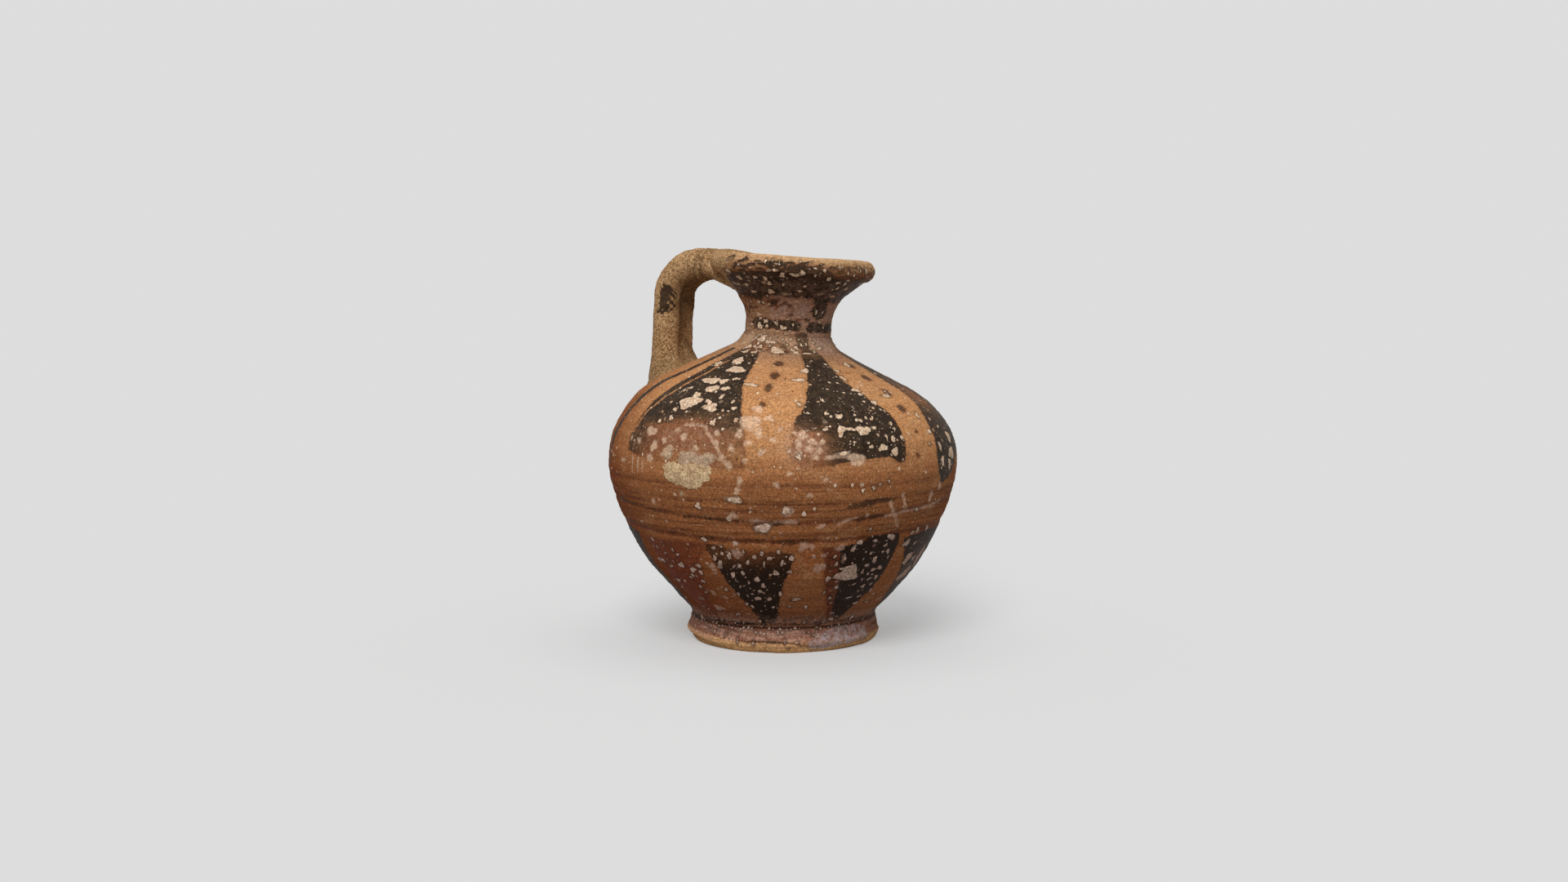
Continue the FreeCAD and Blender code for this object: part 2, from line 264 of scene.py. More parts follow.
class Coat:
    """A number, colour or vector that varies over the clay. Sums on it add nodes to its material."""

    def __init__(self, tree, socket=None):
        self.tree, self.socket = tree, socket

    def node(self, kind, settings=None, sockets=None, out=0):
        made = self.tree.nodes.new(kind)
        for key, value in (settings or {}).items():
            if key == "stops":
                ramp = made.color_ramp.elements
                while len(ramp) < len(value):
                    ramp.new(1.0)
                for stop, (place, colour) in zip(ramp, value):
                    stop.position, stop.color = place, (*colour, 1.0)
            else:
                setattr(made, key, value)
        for key, value in (sockets or {}).items():
            if isinstance(value, Coat):
                self.tree.links.new(value.socket, made.inputs[key])
            else:
                made.inputs[key].default_value = value
        if isinstance(out, tuple):
            return [Coat(self.tree, made.outputs[k]) for k in out]
        return None if out is None else Coat(self.tree, made.outputs[out])

    def mark(self, label, out=2):
        """What the points of the piece are marked with under this label."""
        return self.node("ShaderNodeAttribute", {"attribute_name": label}, {}, out)

    def maths(self, operation, first, second):
        return self.node("ShaderNodeMath", {"operation": operation}, {0: first, 1: second})

    def vector(self, operation, other):
        return self.node("ShaderNodeVectorMath", {"operation": operation}, {0: self, 1: other})

    def __add__(self, other):
        return self.maths("ADD", self, other)

    __radd__ = __add__

    def __mul__(self, other):
        return self.maths("MULTIPLY", self, other)

    __rmul__ = __mul__

    def __sub__(self, other):
        return self.maths("SUBTRACT", self, other)

    def __rsub__(self, other):
        return self.maths("SUBTRACT", other, self)

    def most(self, other):
        """The greater of this and the other."""
        return self.maths("MAXIMUM", self, other)

    def step(self, low, high):
        """0 below low, 1 above high, and a soft step between."""
        soft = {"interpolation_type": "SMOOTHSTEP"}
        return self.node("ShaderNodeMapRange", soft, {0: self, 1: low, 2: high})

    def mix(self, below, above):
        """The colour below where this is 0 and the colour above where it is 1."""
        below, above = ((*c, 1.0) if isinstance(c, tuple) else c for c in (below, above))
        return self.node("ShaderNodeMix", {"data_type": "RGBA"}, {0: self, 6: below, 7: above}, 2)

    def under(self, *layers):
        """This colour with layers laid over it in turn, each how far it covers and its colour."""
        colour = self
        for cover, tone in layers:
            colour = cover.mix(colour, tone)
        return colour

    def stretched(self, *scales):
        """This vector with its three parts scaled."""
        return self.vector("MULTIPLY", scales)

    def moved(self, *shift):
        return self.vector("ADD", shift)

    def cloud(self, scale, detail=3.0, roughness=0.55, out=0):
        """Soft noise over this vector, around 0.5."""
        sockets = {"Vector": self, "Scale": scale, "Detail": detail, "Roughness": roughness}
        return self.node("ShaderNodeTexNoise", {}, sockets, out)

    def frayed(self, scale, reach):
        """This vector pushed about by noise, so that shapes on it get ragged edges."""
        push = self.cloud(scale, 2.0, 0.5, 1).moved(-0.5, -0.5, -0.5).stretched(reach, reach, reach)
        return self.vector("ADD", push)

    def specks(self, scale, share, size, soft=0.18):
        """Scattered specks and a random number for each. They have a number of cells per mm, the share of
        cells with a speck, its largest size in cells and how soft its edge is."""
        sockets = {"Vector": self, "Scale": scale}
        distance, chance = self.node("ShaderNodeTexVoronoi", {}, sockets, ("Distance", "Color"))
        red, green, blue = chance.node("ShaderNodeSeparateColor", {}, {0: chance}, (0, 1, 2))
        there = (share - red).step(0.0, 0.02)
        reach = green * green * (size * 0.75) + size * 0.25
        return (reach - distance).step(0.0, size * soft) * there, blue


def srgb(*parts):
    """A colour written as it looks, in 0 to 255, as the light it gives back."""
    parts = [part / 255 for part in parts]
    return tuple(c / 12.92 if c <= 10 / 255 else ((c + 0.055) / 1.055) ** 2.4 for c in parts)


def blank_material(name):
    """A material without nodes, and a start to add them to."""
    material = bpy.data.materials.new(name)
    material.use_nodes = True
    material.node_tree.nodes.clear()
    return material, Coat(material.node_tree)


def clay_surface(start, colour, roughness, rise):
    """The clay's shader, with the rise of its grain in mm."""
    bump = start.node("ShaderNodeBump", {}, {"Strength": 0.6, "Distance": MM, "Height": rise})
    shader = start.node("ShaderNodeBsdfPrincipled", {}, {
        "Base Color": colour, "Roughness": roughness, "Normal": bump, "Specular IOR Level": 0.05,
    })
    start.node("ShaderNodeOutputMaterial", {}, {"Surface": shader}, None)


cream, tan_lime = srgb(238, 214, 188), srgb(200, 162, 128)
pink_lime, dull_lime = srgb(214, 184, 166), srgb(166, 132, 114)
black_slip, brown_black, red_slip = srgb(42, 33, 25), srgb(36, 21, 12), srgb(108, 54, 33)
deep_red, rust = srgb(110, 40, 4), srgb(138, 78, 46)


def painted_clay(name, ground, wash, squat=1.0):
    """Fired orange clay under thin dark slip, worn, with specks and flakes of lime.
    The ground is a row of (height, red, green, blue) up the piece, and the wash is the colour of its bloom.
    Squat specks are so many times wider than tall."""
    material, start = blank_material(name)
    pot = start.mark("pot", 1)
    height = start.node("ShaderNodeSeparateXYZ", {}, {0: pot}, 2)
    slip, fired, thin, flake, ochre, haze, lime, bloom, stain, streak, smear = map(start.mark, bare_marks)
    mottle = pot.cloud(0.11, 5.0, 0.6)
    patches = pot.moved(31, 7, 2).cloud(0.40, 4.0, 0.62)
    veil = pot.moved(14, 2, 33).cloud(0.45, 5.0, 0.7).step(0.36, 0.64)
    wheel = pot.stretched(0.035, 0.035, 1.0).cloud(0.9, 5.0, 0.72)
    fine_wheel = pot.stretched(0.08, 0.08, 2.4).cloud(1.3, 3.0, 0.6)
    grain = pot.cloud(1.7, 4.0, 0.75).step(0.34, 0.66)
    grit = pot.moved(8, 1, 3).cloud(4.5, 2.0, 0.6)
    above_belly = height.step(34.0, 56.0)
    bright_lime, dim_lime = above_belly.mix(pink_lime, cream), above_belly.mix(dull_lime, tan_lime)

    # The bare clay, with the rings of the wheel, its stains and its bloom.
    low, high = ground[0][0], ground[-1][0]
    place = (height + (mottle - 0.5) * 2.4 - low) * (1 / (high - low))
    stops = [((h - low) / (high - low), srgb(*tone)) for h, *tone in ground]
    clay = start.node("ShaderNodeValToRGB", {"stops": stops}, {0: place}).under(
        ((1 - wheel).step(0.44, 0.68) * streak * 0.85, srgb(96, 56, 34)),
        (fine_wheel.step(0.52, 0.78) * streak * 0.45, srgb(204, 152, 106)),
        (patches.step(0.50, 0.72) * 0.40, srgb(146, 88, 52)),
        (mottle.step(0.50, 0.72) * 0.28, srgb(208, 160, 114)),
        (stain * (veil * 0.22 + 0.72), srgb(112, 47, 9)),
        (bloom * (veil * 0.55 + 0.40), wash),
    )

    # The slip: black where it took the fire well, red and rust where it didn't, and worn at its edges.
    edge = slip + (pot.cloud(0.7, 3.0) - 0.5) * 1.4 + (grit - 0.5) * 0.8
    worn = pot.moved(3, 17, 5).cloud(1.0, 6.0, 0.75)
    cover = edge.step(-0.12, 0.18) * (1 - worn.step(0.60, 0.68)) * (1 - thin * (veil * 0.45 + 0.55))
    scorch = fired + (pot.moved(9, 4, 21).cloud(0.5, 4.0, 0.65) - 0.5) * 0.9
    scorch = scorch + (1 - edge.step(0.0, 0.9)) * 0.30
    # Above the belly the black is drawn lighter and greyer, with a grey-brown film over it there: partly
    # dust,
    # partly painted sheen where the slip faces the light above.
    black, red = above_belly.mix(brown_black, black_slip), stain.mix(red_slip, deep_red)
    slip_colour = scorch.step(0.35, 0.75).mix(black, red).under(
        (scorch.step(0.65, 1.1) * (0.7 - stain * 0.6), rust),
        (grit.step(0.50, 0.75) * (0.30 - stain * 0.2), srgb(112, 86, 62)),
        (veil * above_belly * 0.40, srgb(88, 70, 54)),
        (bloom * veil * 0.7, wash),
    )
    sand = pot.cloud(1.75, 5.0, 0.78)
    tan_clay = ((1 - sand).step(0.46, 0.60) * 0.70).mix(srgb(188, 148, 104), srgb(92, 66, 42))
    tan_clay = (sand.step(0.52, 0.66) * 0.6).mix(tan_clay, srgb(222, 186, 142))

    # Pits, films and specks of lime in three sizes.
    pits, _ = pot.moved(40, 3, 8).frayed(1.5, 0.5).specks(0.62, 0.24, 0.22)
    strewn = pot.stretched(1 / squat, 1 / squat, squat)
    blur, tint = strewn.moved(7, 7, 1).frayed(0.9, 1.0).specks(0.30, lime * 0.30 + 0.05, 0.36, 0.9)
    film = (haze + (patches - 0.5) * 1.2).step(-0.35, 0.55) * 0.68
    film_colour = above_belly.mix(srgb(198, 158, 136), srgb(224, 188, 158))
    large, large_tint = strewn.frayed(0.9, 1.2).specks(0.30, lime * 0.42, 0.30)
    middle, middle_tint = strewn.moved(11, 2, 6).frayed(1.6, 0.6).specks(0.55, lime * 0.72 + 0.05, 0.32)
    small, small_tint = strewn.moved(2, 23, 9).frayed(3.0, 0.3).specks(1.1, lime * 0.62 + 0.24, 0.32)
    scatter = large.most(middle).most(small * (small_tint * 0.5 + 0.5))

    # Raised flakes of lime or of ochre earth. The dark ring round each is partly chipped slip and partly
    # painted shadow.
    ragged = above_belly * 0.95 + 0.75
    flake_edge = flake + (pot.cloud(0.85, 4.0, 0.7) - 0.5) * ragged + (grit - 0.5) * 0.5
    crust = flake_edge.step(-0.08, 0.16)
    paleness = pot.moved(1, 2, 3).cloud(1.2, 5.0, 0.75).step(0.36, 0.66)
    crust_colour = paleness.mix(dim_lime, bright_lime).under(
        (ochre * 0.85, veil.mix(srgb(172, 138, 98), srgb(224, 194, 150))),
        (pot.moved(6, 2, 3).cloud(1.6, 3.0, 0.7).step(0.56, 0.70) * 0.40, srgb(132, 96, 64)),
    )
    colour = clay.under(
        (edge.step(-1.0, 0.0) * 0.30, srgb(116, 68, 42)),
        (cover, slip_colour),
        ((smear + (patches - 0.5) * 1.6).step(-0.5, 0.6) * 0.9, tan_clay),
        (pits * 0.75, srgb(52, 32, 22)),
        ((blur * (tint * 0.35 + 0.25)).most(film), ochre.mix(film_colour, srgb(190, 166, 138))),
        (scatter * (middle_tint * 0.30 + 0.70), large_tint.mix(bright_lime, dim_lime)),
        # a dark ring round each flake: painted shadow, and chipped slip
        (flake_edge.step(-0.65, -0.05) * 0.55 * (1 - ochre), srgb(36, 23, 16)),
        (crust, crust_colour),
    ).vector("MULTIPLY", grain * 0.76 + 0.62)

    white = scatter.most(crust)
    rise = cover * 0.04 + white * 0.16 + wheel * streak * 0.25 + fine_wheel * 0.05
    rise = rise + grain * 0.07 + grit * 0.05 - pits * 0.12
    sheen = start.node("ShaderNodeMapRange", {}, {0: cover * (1 - white), 1: 0.0, 2: 1.0, 3: 0.86, 4: 0.55})
    clay_surface(start, colour, sheen + (grit - 0.5) * 0.3, rise)
    return material


class PaintedWall:
    """An outside wall to paint on. Shapes on it are given in degrees round the pot and mm up it."""

    def __init__(self, line):
        self.radii, self.heights = line.T
        self.lengths = lengths_along(line)

    def length(self, height):
        return np.interp(height, self.heights, self.lengths)

    def radius(self, height):
        return np.interp(height, self.heights, self.radii)

    def shape(self, corners, angle, height, closed=True):
        """Distance in mm inside a shape with these corners. From an open line it has a minus sign."""
        corners = np.array(corners, float)
        centre = corners[:, 0].mean()
        turn, up = degrees_from(angle, centre), self.length(height)
        outline = np.stack([corners[:, 0] - centre, self.length(corners[:, 1])], -1)
        after = np.roll(outline, -1, axis=0)
        if not closed:
            outline, after = outline[:-1], after[:-1]
        apart, within = np.full_like(turn, 99.0), np.zeros(len(turn), bool)
        scale = np.radians(1) * self.radius(height)
        for (a0, l0), (a1, l1) in zip(outline, after):
            dx, dy, ex, ey = (turn - a0) * scale, up - l0, (a1 - a0) * scale, l1 - l0
            share = held((dx * ex + dy * ey) / (ex * ex + ey * ey + 1e-9))
            apart = np.minimum(apart, np.hypot(dx - share * ex, dy - share * ey))
            if closed and l0 != l1:
                crossing = a0 + (up - l0) * (a1 - a0) / (l1 - l0)
                within ^= (up > min(l0, l1)) & (up <= max(l0, l1)) & (turn < crossing)
        return np.where(within, apart, -apart)

    def spot(self, spot, angle, height, lumpy=1.0):
        """Distance in mm inside a lumpy oval, given by its turn, height, half width in degrees and half
        height in mm."""
        turn, level, wide, tall = spot
        tall = max(self.length(level + tall / 2) - self.length(level - tall / 2), 0.25)
        wide = max(np.radians(wide) * self.radius(level), 0.25)
        across = np.radians(degrees_from(angle, turn)) * self.radius(height) / wide
        rise = (self.length(height) - self.length(level)) / tall
        bearing = np.arctan2(rise, across)
        lumps = 0.16 * np.sin(2 * bearing + turn) + 0.14 * np.sin(3 * bearing + 3 * level)
        lumps += 0.08 * np.sin(5 * bearing + turn + level)
        return (1 + lumps * lumpy - np.hypot(across, rise)) * min(wide, tall)

    def nearest(self, angle, height, shapes=(), spots=(), lines=(), lumpy=1.0):
        """Distance in mm inside the nearest of these shapes, spots and (half width, points) lines."""
        found = [self.shape(shape, angle, height) for shape in shapes]
        found += [self.spot(spot, angle, height, lumpy) for spot in spots]
        found += [half + self.shape(points, angle, height, False) for half, points in lines]
        return held(np.max(found, axis=0), -mark_reach, mark_reach)


def new_marks(angle):
    return {label: np.full_like(angle, value) for label, value in bare_marks.items()}


def finish_piece(piece, material, slot, *nodes):
    piece.data.materials.append(material)
    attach(piece, "root")
    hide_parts(*nodes)


foot_height, foot_top_radius, foot_widest = 7.75, 28.3, (29.7, 3.25)
foot_rest_outer, foot_rest_inner, spigot_radius, spigot_height = (27.8, 0), (23.5, 0), 21.5, 5.75
foot_top, spigot_root = (foot_top_radius, foot_height), (spigot_radius, foot_height)
spigot_end = (spigot_radius, spigot_height)
foot_step = 0.4

foot_outside = np.concatenate([
    bow(foot_rest_outer, (28.98, 1.3), foot_widest), bow(foot_widest, (28.61, 5.5), foot_top)[1:],
])
foot_wall = PaintedWall(foot_outside)
# Chips out of the ring: turn and height, half width in degrees and half height, depth.
foot_chips = (
    (90, 2.6, 8, 1.5, 0.8), (68, 0, 13, 0.8, 0.5), (14, 0.2, 5, 0.6, 0.35), (-3, 1.4, 1.2, 0.8, 0.3),
    (15, 1.7, 1.2, 0.8, 0.3), (-48, 0.6, 22, 1.6, 0.9), (118, 2.8, 10, 1.6, 0.8), (171, 0.6, 8, 1.2, 0.7),
    (204, 3.1, 6, 1.5, 0.6), (262, 2.2, 9, 1.4, 0.7),
)
# The slip's lower edge on the ring, and the grey deposit on its right.
slip_edge_turns = (
    -60, -45, -30, -15, 0, 20, 30, 36, 42, 52, 60, 68, 72, 78, 84, 100, 120, 160, 200, 240, 270, 300,
)
slip_edge_heights = (
    4.4, 4.3, 4, 3.6, 3.2, 3.2, 2.9, 2.2, 1.6, 1.9, 2, 2.2, 2.7, 1.8, 2.4, 3.6, 3.4, 3, 3.5, 3.2, 3.8,
    4.4,
)
grey_crust = (
    (39, 3), (44, 4), (50, 5.4), (56, 6.6), (70, 6.8), (82, 5.6), (83.5, 2.4), (75, 2.6), (66, 2),
    (56, 1.9), (48, 1.2), (41, 1.6),
)
foot_flakes = (
    (8, 3, 0.8, 0.8), (-2, 3.4, 0.5, 0.6), (26, 3.8, 0.5, 0.6), (33, 3.4, 1, 0.4), (22, 6.5, 0.4, 0.6),
    (45, 6.3, 0.5, 0.5), (4, 7.4, 0.8, 0.3), (-20, 5, 0.9, 0.5), (-27, 4.7, 0.7, 0.4),
    (-11, 4.4, 0.5, 0.6), (-1, 6.4, 0.5, 0.5), (-9, 6.9, 0.6, 0.6), (-17, 6.8, 1, 0.3),
    (-24, 6.3, 0.7, 0.4), (28, 1.7, 0.4, 0.3), (150, 4.2, 1, 0.6), (186, 6, 0.8, 0.4),
    (232, 3.5, 0.9, 0.5), (286, 5.2, 0.8, 0.6),
)
# Specks of lime gathered along the seam with the body.
seam_draw = np.random.default_rng(61)


def speck_row(turns, level, wide, tall):
    """Specks at these turns, each with a height, half width and half height drawn between two limits."""
    return tuple((turn, *(seam_draw.uniform(*limits) for limits in (level, wide, tall))) for turn in turns)


seam_specks = speck_row(np.arange(-38, 70, 2.6), (5.2, 7.6), (0.4, 1.0), (0.22, 0.42))
# Pale streaks of film along the ring.
streak_half_width = 0.42
foot_streaks = (
    ((-34, 5.6), (-26, 5.5)), ((-30, 6.4), (-20, 6.2)), ((-24, 5), (-12, 4.7)), ((-18, 5.8), (-9, 5.6)),
    ((-14, 4.1), (-4, 3.9)), ((-8, 5.1), (2, 5)), ((-3, 6.6), (6, 6.5)), ((4, 4.4), (14, 4.3)),
    ((10, 5.8), (21, 5.7)), ((17, 5), (27, 5.1)), ((24, 6.4), (34, 6.5)), ((28, 4), (38, 4.3)),
    ((150, 5.2), (162, 5.1)), ((205, 5.8), (219, 5.6)),
)


def joint_groove(height):
    """The shallow groove where the body sits on the ring."""
    return 0.2 * near(height, foot_height, 0.5)


def foot_skin(angle, radius, height):
    lift = thrown_skin(angle, height)
    for turn, level, wide, tall, deep in foot_chips:
        lift = lift - deep * facing(angle, turn, wide) * near(height, level, tall)
    lift = lift - joint_groove(height) - 0.10 * near(height, 3.6, 0.3)
    rest = (height < 0.01) & (radius < foot_rest_outer[0] - 0.01)
    return np.where(rest, 0.0, np.minimum(lift, 0.2 * height))


def foot_marks(angle, radius, height):
    made = new_marks(angle)
    turn = degrees_from(angle, 120) + 120
    edge = np.interp(turn, slip_edge_turns, slip_edge_heights)
    outside, left = height > 0.01, facing(angle, -30, 34)
    dark_edge = near(height, edge + 0.25, 0.45) * facing(angle, 18, 26) + near(height, 7.6, 0.45)
    flakes = foot_wall.nearest(angle, height, spots=(*foot_flakes, *seam_specks))
    streaks = foot_wall.nearest(angle, height, lines=[(streak_half_width, line) for line in foot_streaks])
    for label, distance in (("slip", height - edge), ("flake", flakes), ("haze", streaks)):
        made[label] = np.where(outside, held(distance, -mark_reach, mark_reach), -2)
    made["fired"] = 0.85 - 0.8 * held(dark_edge) + 0.15 * left
    made["thin"] = held(0.75 - 0.7 * dark_edge - 0.25 * left)
    made["bloom"] = held(foot_wall.nearest(angle, height, [grey_crust]) * 1.5 + 1.0) * outside
    made["lime"] = 0.60 + 0.40 * facing(angle, -14, 24)
    made["streak"] = 0.65 + 0.5 * held((height - 3.5) / 1.5)
    return made


foot = turned("jug_foot_ring", [
    (foot_outside, foot_step, True),
    *hidden((1.2, 1.0, 0.6), foot_top, spigot_root, spigot_end, foot_rest_inner),
    ((foot_rest_inner, foot_rest_outer), 0.6, True),
], foot_skin, foot_marks)
# The bare strip round the bottom is drawn paler than the clay: painted light on its downward face.
foot_clay = painted_clay("foot_clay", (
    (0, 248, 190, 128), (2.8, 252, 196, 140), (4.4, 210, 160, 140), (6.8, 198, 152, 138),
    (7.75, 124, 76, 56),
), srgb(206, 190, 190))
finish_piece(foot, foot_clay, "slipped_clay", "foot_ring")


# Body: thrown in two halves, a bowl with a thick floor and a closed-in shoulder, joined while damp.
# Dark slip is brushed on: tongues and dots over the shoulder, lines round the belly and rays under it.
body_points = np.array([
    (28.3, 7.75), (28.6, 9.14), (30.05, 10.76), (35.73, 16.77), (40.72, 22.74), (44.4, 28.75),
    (47.39, 34.76), (50.01, 40.77), (51.94, 47.06), (53, 54), (52.65, 58.76), (51.45, 63.25),
    (49.09, 67.74), (45.68, 72.26), (40.26, 76.75), (34.17, 80.01), (25.9, 83.99), (17.8, 88),
])
body_joint, joint_step_height, body_wall, floor_top = 35.0, 37.0, 4.6, 11.75
shoulder_top, shoulder_top_radius, neck_radius, tenon_height, hollow_top = 88.0, 17.8, 13.2, 83.5, 82.6
body_step, hollow_step = 0.55, 3.6


def through(points, count=500):
    """A smooth curve through points, as a cubic in the length between them."""
    along = lengths_along(points)
    gaps = np.diff(along)
    last = len(along) - 1
    matrix, right = np.zeros((last + 1, last + 1)), np.zeros((last + 1, 2))
    for i in range(1, last):
        matrix[i, i - 1:i + 2] = gaps[i - 1], 2 * (gaps[i - 1] + gaps[i]), gaps[i]
        right[i] = 6 * ((points[i + 1] - points[i]) / gaps[i] - (points[i] - points[i - 1]) / gaps[i - 1])
    matrix[0, :3] = gaps[1], -(gaps[0] + gaps[1]), gaps[0]
    matrix[-1, -3:] = gaps[-1], -(gaps[-2] + gaps[-1]), gaps[-2]
    bends = np.linalg.solve(matrix, right)
    places = np.linspace(0, along[-1], count)
    i = np.clip(np.searchsorted(along, places, side="right") - 1, 0, last - 1)
    h, a, b = gaps[i][:, None], (along[i + 1] - places)[:, None], (places - along[i])[:, None]
    curve = bends[i] * a ** 3 / (6 * h) + bends[i + 1] * b ** 3 / (6 * h)
    return curve + (points[i] / h - bends[i] * h / 6) * a + (points[i + 1] / h - bends[i + 1] * h / 6) * b


body_line = through(body_points)
body_inner = body_line - outward_of(body_line) * body_wall
body_wall_paint = PaintedWall(body_line)


def part_of(line, low, high):
    """The part of an outline between two heights, with its ends on them."""
    inside = line[(line[:, 1] > low) & (line[:, 1] < high)]
    ends = [(np.interp(h, line[:, 1], line[:, 0]), h) for h in (low, high)]
    return np.concatenate([[ends[0]], inside, [ends[1]]])


# Tongues hang from the neck over the shoulder, each listed round its edge as (degrees, height).
left_tongue = (
    (-22, 88.5), (-24.5, 85), (-26.5, 81), (-28.5, 77.5), (-30.5, 74), (-32.5, 70), (-34, 66),
    (-34.5, 62), (-33, 59.5), (-27, 58.2), (-18, 57.6), (-9, 57.2), (0, 56.8), (8, 56.4), (13, 56.6),
    (13.5, 60), (13, 65), (11.5, 69), (9.8, 72.5), (9, 75), (7.5, 77), (6, 79), (5, 81), (4.5, 83),
    (3, 85), (1, 87), (-1, 88.6),
)
right_tongue = (
    (38.5, 88.6), (38.5, 86), (38, 84), (37, 82), (36, 80), (34.5, 78), (33.5, 76), (32.5, 74), (31, 72),
    (29, 70.5), (28, 67), (27.6, 62), (28, 58), (34, 57), (40, 57.2), (46, 58), (51, 58.7), (56, 58.8),
    (60, 59), (63, 57.3), (65.3, 57.3), (66.6, 59), (67, 62), (67, 66), (67, 69), (66, 72), (64, 74),
    (61.5, 75.5), (60, 77.5), (58, 79.5), (56.8, 81), (57.3, 83.5), (58.5, 86), (59.5, 88.6),
)
side_tongue = (
    (95, 88.6), (94, 86), (92, 82), (89, 77), (86, 72), (84.5, 68), (84, 64), (83, 58), (83.8, 53),
    (87, 49.4), (92, 50.8), (98, 54), (104, 57), (112, 59.4), (120, 61), (122, 66), (120, 72), (117, 78),
    (113, 84), (111, 88.6),
)
# Two of them come back on the far side, and so does the line beside the handle.
tongues = [left_tongue, right_tongue, side_tongue]
tongues += [[((a - 48) * 0.82 + 149, h) for a, h in right_tongue], [(-180 - a, h) for a, h in left_tongue]]
scraped_line = ((-18, 84.5), (-21.5, 79.5), (-25, 75.5), (-29, 71.5), (-31, 69.5), (-33.5, 65))
handle_line = (
    (-36, 88), (-38, 83), (-40, 80), (-42.5, 77), (-44, 74), (-46, 71), (-47.5, 68), (-48.5, 65),
    (-50, 62), (-51, 58), (-51.5, 54),
)
handle_lines = [handle_line, [(-180 - a, h) for a, h in handle_line]]
# Dots stand between the tongues, listed as (degrees, height, half width in degrees, half height).
tongue_dots = [
    (20, 84.9, 3.4, 0.75), (19.5, 81.7, 2.7, 0.85), (18, 78.5, 1.9, 1), (17, 74.1, 1.5, 0.8),
    (12, 88, 1.6, 0.5), (20, 87.6, 1.6, 0.5), (79, 85, 3.2, 0.7), (76.5, 81.8, 3, 0.9),
    (76, 78, 2.4, 0.9), (74.5, 73.3, 2.2, 1.2), (75, 66.2, 0.9, 0.6), (72, 59, 0.9, 0.9),
]
dot_draw = np.random.default_rng(11)
for stripe in (126.5, 173):
    for level, wide in ((85, 3.2), (81.5, 2.8), (78, 2.4), (73.5, 2.1), (67, 1.6)):
        turn, height = stripe + dot_draw.uniform(-1, 1), level + dot_draw.uniform(-0.5, 0.5)
        tongue_dots.append((turn, height, wide, 0.95))

# Rays stand under the belly and point down at the foot.
black_ray = (
    (-6, 34.7), (-3.5, 32.5), (-1, 29.5), (0.3, 26), (1.8, 22.5), (4, 19.5), (6, 17), (8, 15), (10, 12.5),
    (11.5, 9.3), (21, 9.3), (22.5, 13), (23.2, 16), (24, 19.5), (25, 22.5), (26.8, 25.5), (28.3, 28.5),
    (28.8, 31.8), (22, 32.4), (14, 32.4), (7, 33), (1, 34),
)
red_ray = (
    (-34, 34.2), (-33, 31), (-31, 26), (-30, 20), (-29, 16), (-26, 12.5), (-21, 9.5), (-16.5, 9.5),
    (-15, 13), (-12, 17), (-9.3, 21), (-8.6, 25), (-7, 29), (-3, 33.5), (-4, 34.6),
)
right_ray = (
    (43.5, 33.6), (45, 29.5), (45.3, 26), (46.6, 22), (47.8, 18), (48.8, 14.5), (51, 11.5), (52.8, 9.3),
    (59.5, 9.3), (61.8, 11.8), (64, 14.3), (66.3, 17.2), (68.2, 20.8), (69.2, 24.5), (69.8, 28.5),
    (70.3, 33), (69, 36.4), (63, 36.5), (56, 36), (52, 34.6),
)
ray_border = (
    (38, 33.5), (40, 29), (41.2, 25), (42.2, 21.5), (44.5, 18), (46.5, 14.5), (49, 11.3), (50.5, 9.3),
    (53.5, 9.3), (51.5, 12), (49.5, 15), (48.5, 19), (47.5, 23), (46, 27), (45.5, 31), (44.5, 33.8),
)
side_ray = (
    (72, 34.5), (76, 30.5), (79, 26), (82, 21), (86, 16), (90, 11.5), (92, 9.3), (103, 9.3), (106, 12),
    (110, 17), (113, 22), (116, 28), (118, 34), (110, 35.5), (98, 36), (85, 35.6),
)
left_ray = (
    (-66, 36), (-60, 28), (-57, 20), (-54, 13), (-52, 9.3), (-44, 9.3), (-40, 12), (-37.5, 16),
    (-38.5, 20), (-40.5, 26), (-40.8, 30), (-38.5, 35), (-50, 36),
)
# Each ray with how red it has fired, from the front and then round the back.
rays = [
    (black_ray, 0), (red_ray, 0.80), (right_ray, 0), (ray_border, 0.66), (side_ray, 0.05), (left_ray, 0),
]
back_rays = ((141, 0.85, 0.6), (176, 0.8, 0.1), (211, 0.9, 0), (246, 0.85, 0.9), (279, 0.8, 0.2))
for centre, wide, red in back_rays:
    rays.append(([((a - 57) * wide + centre, h) for a, h in right_ray], red))

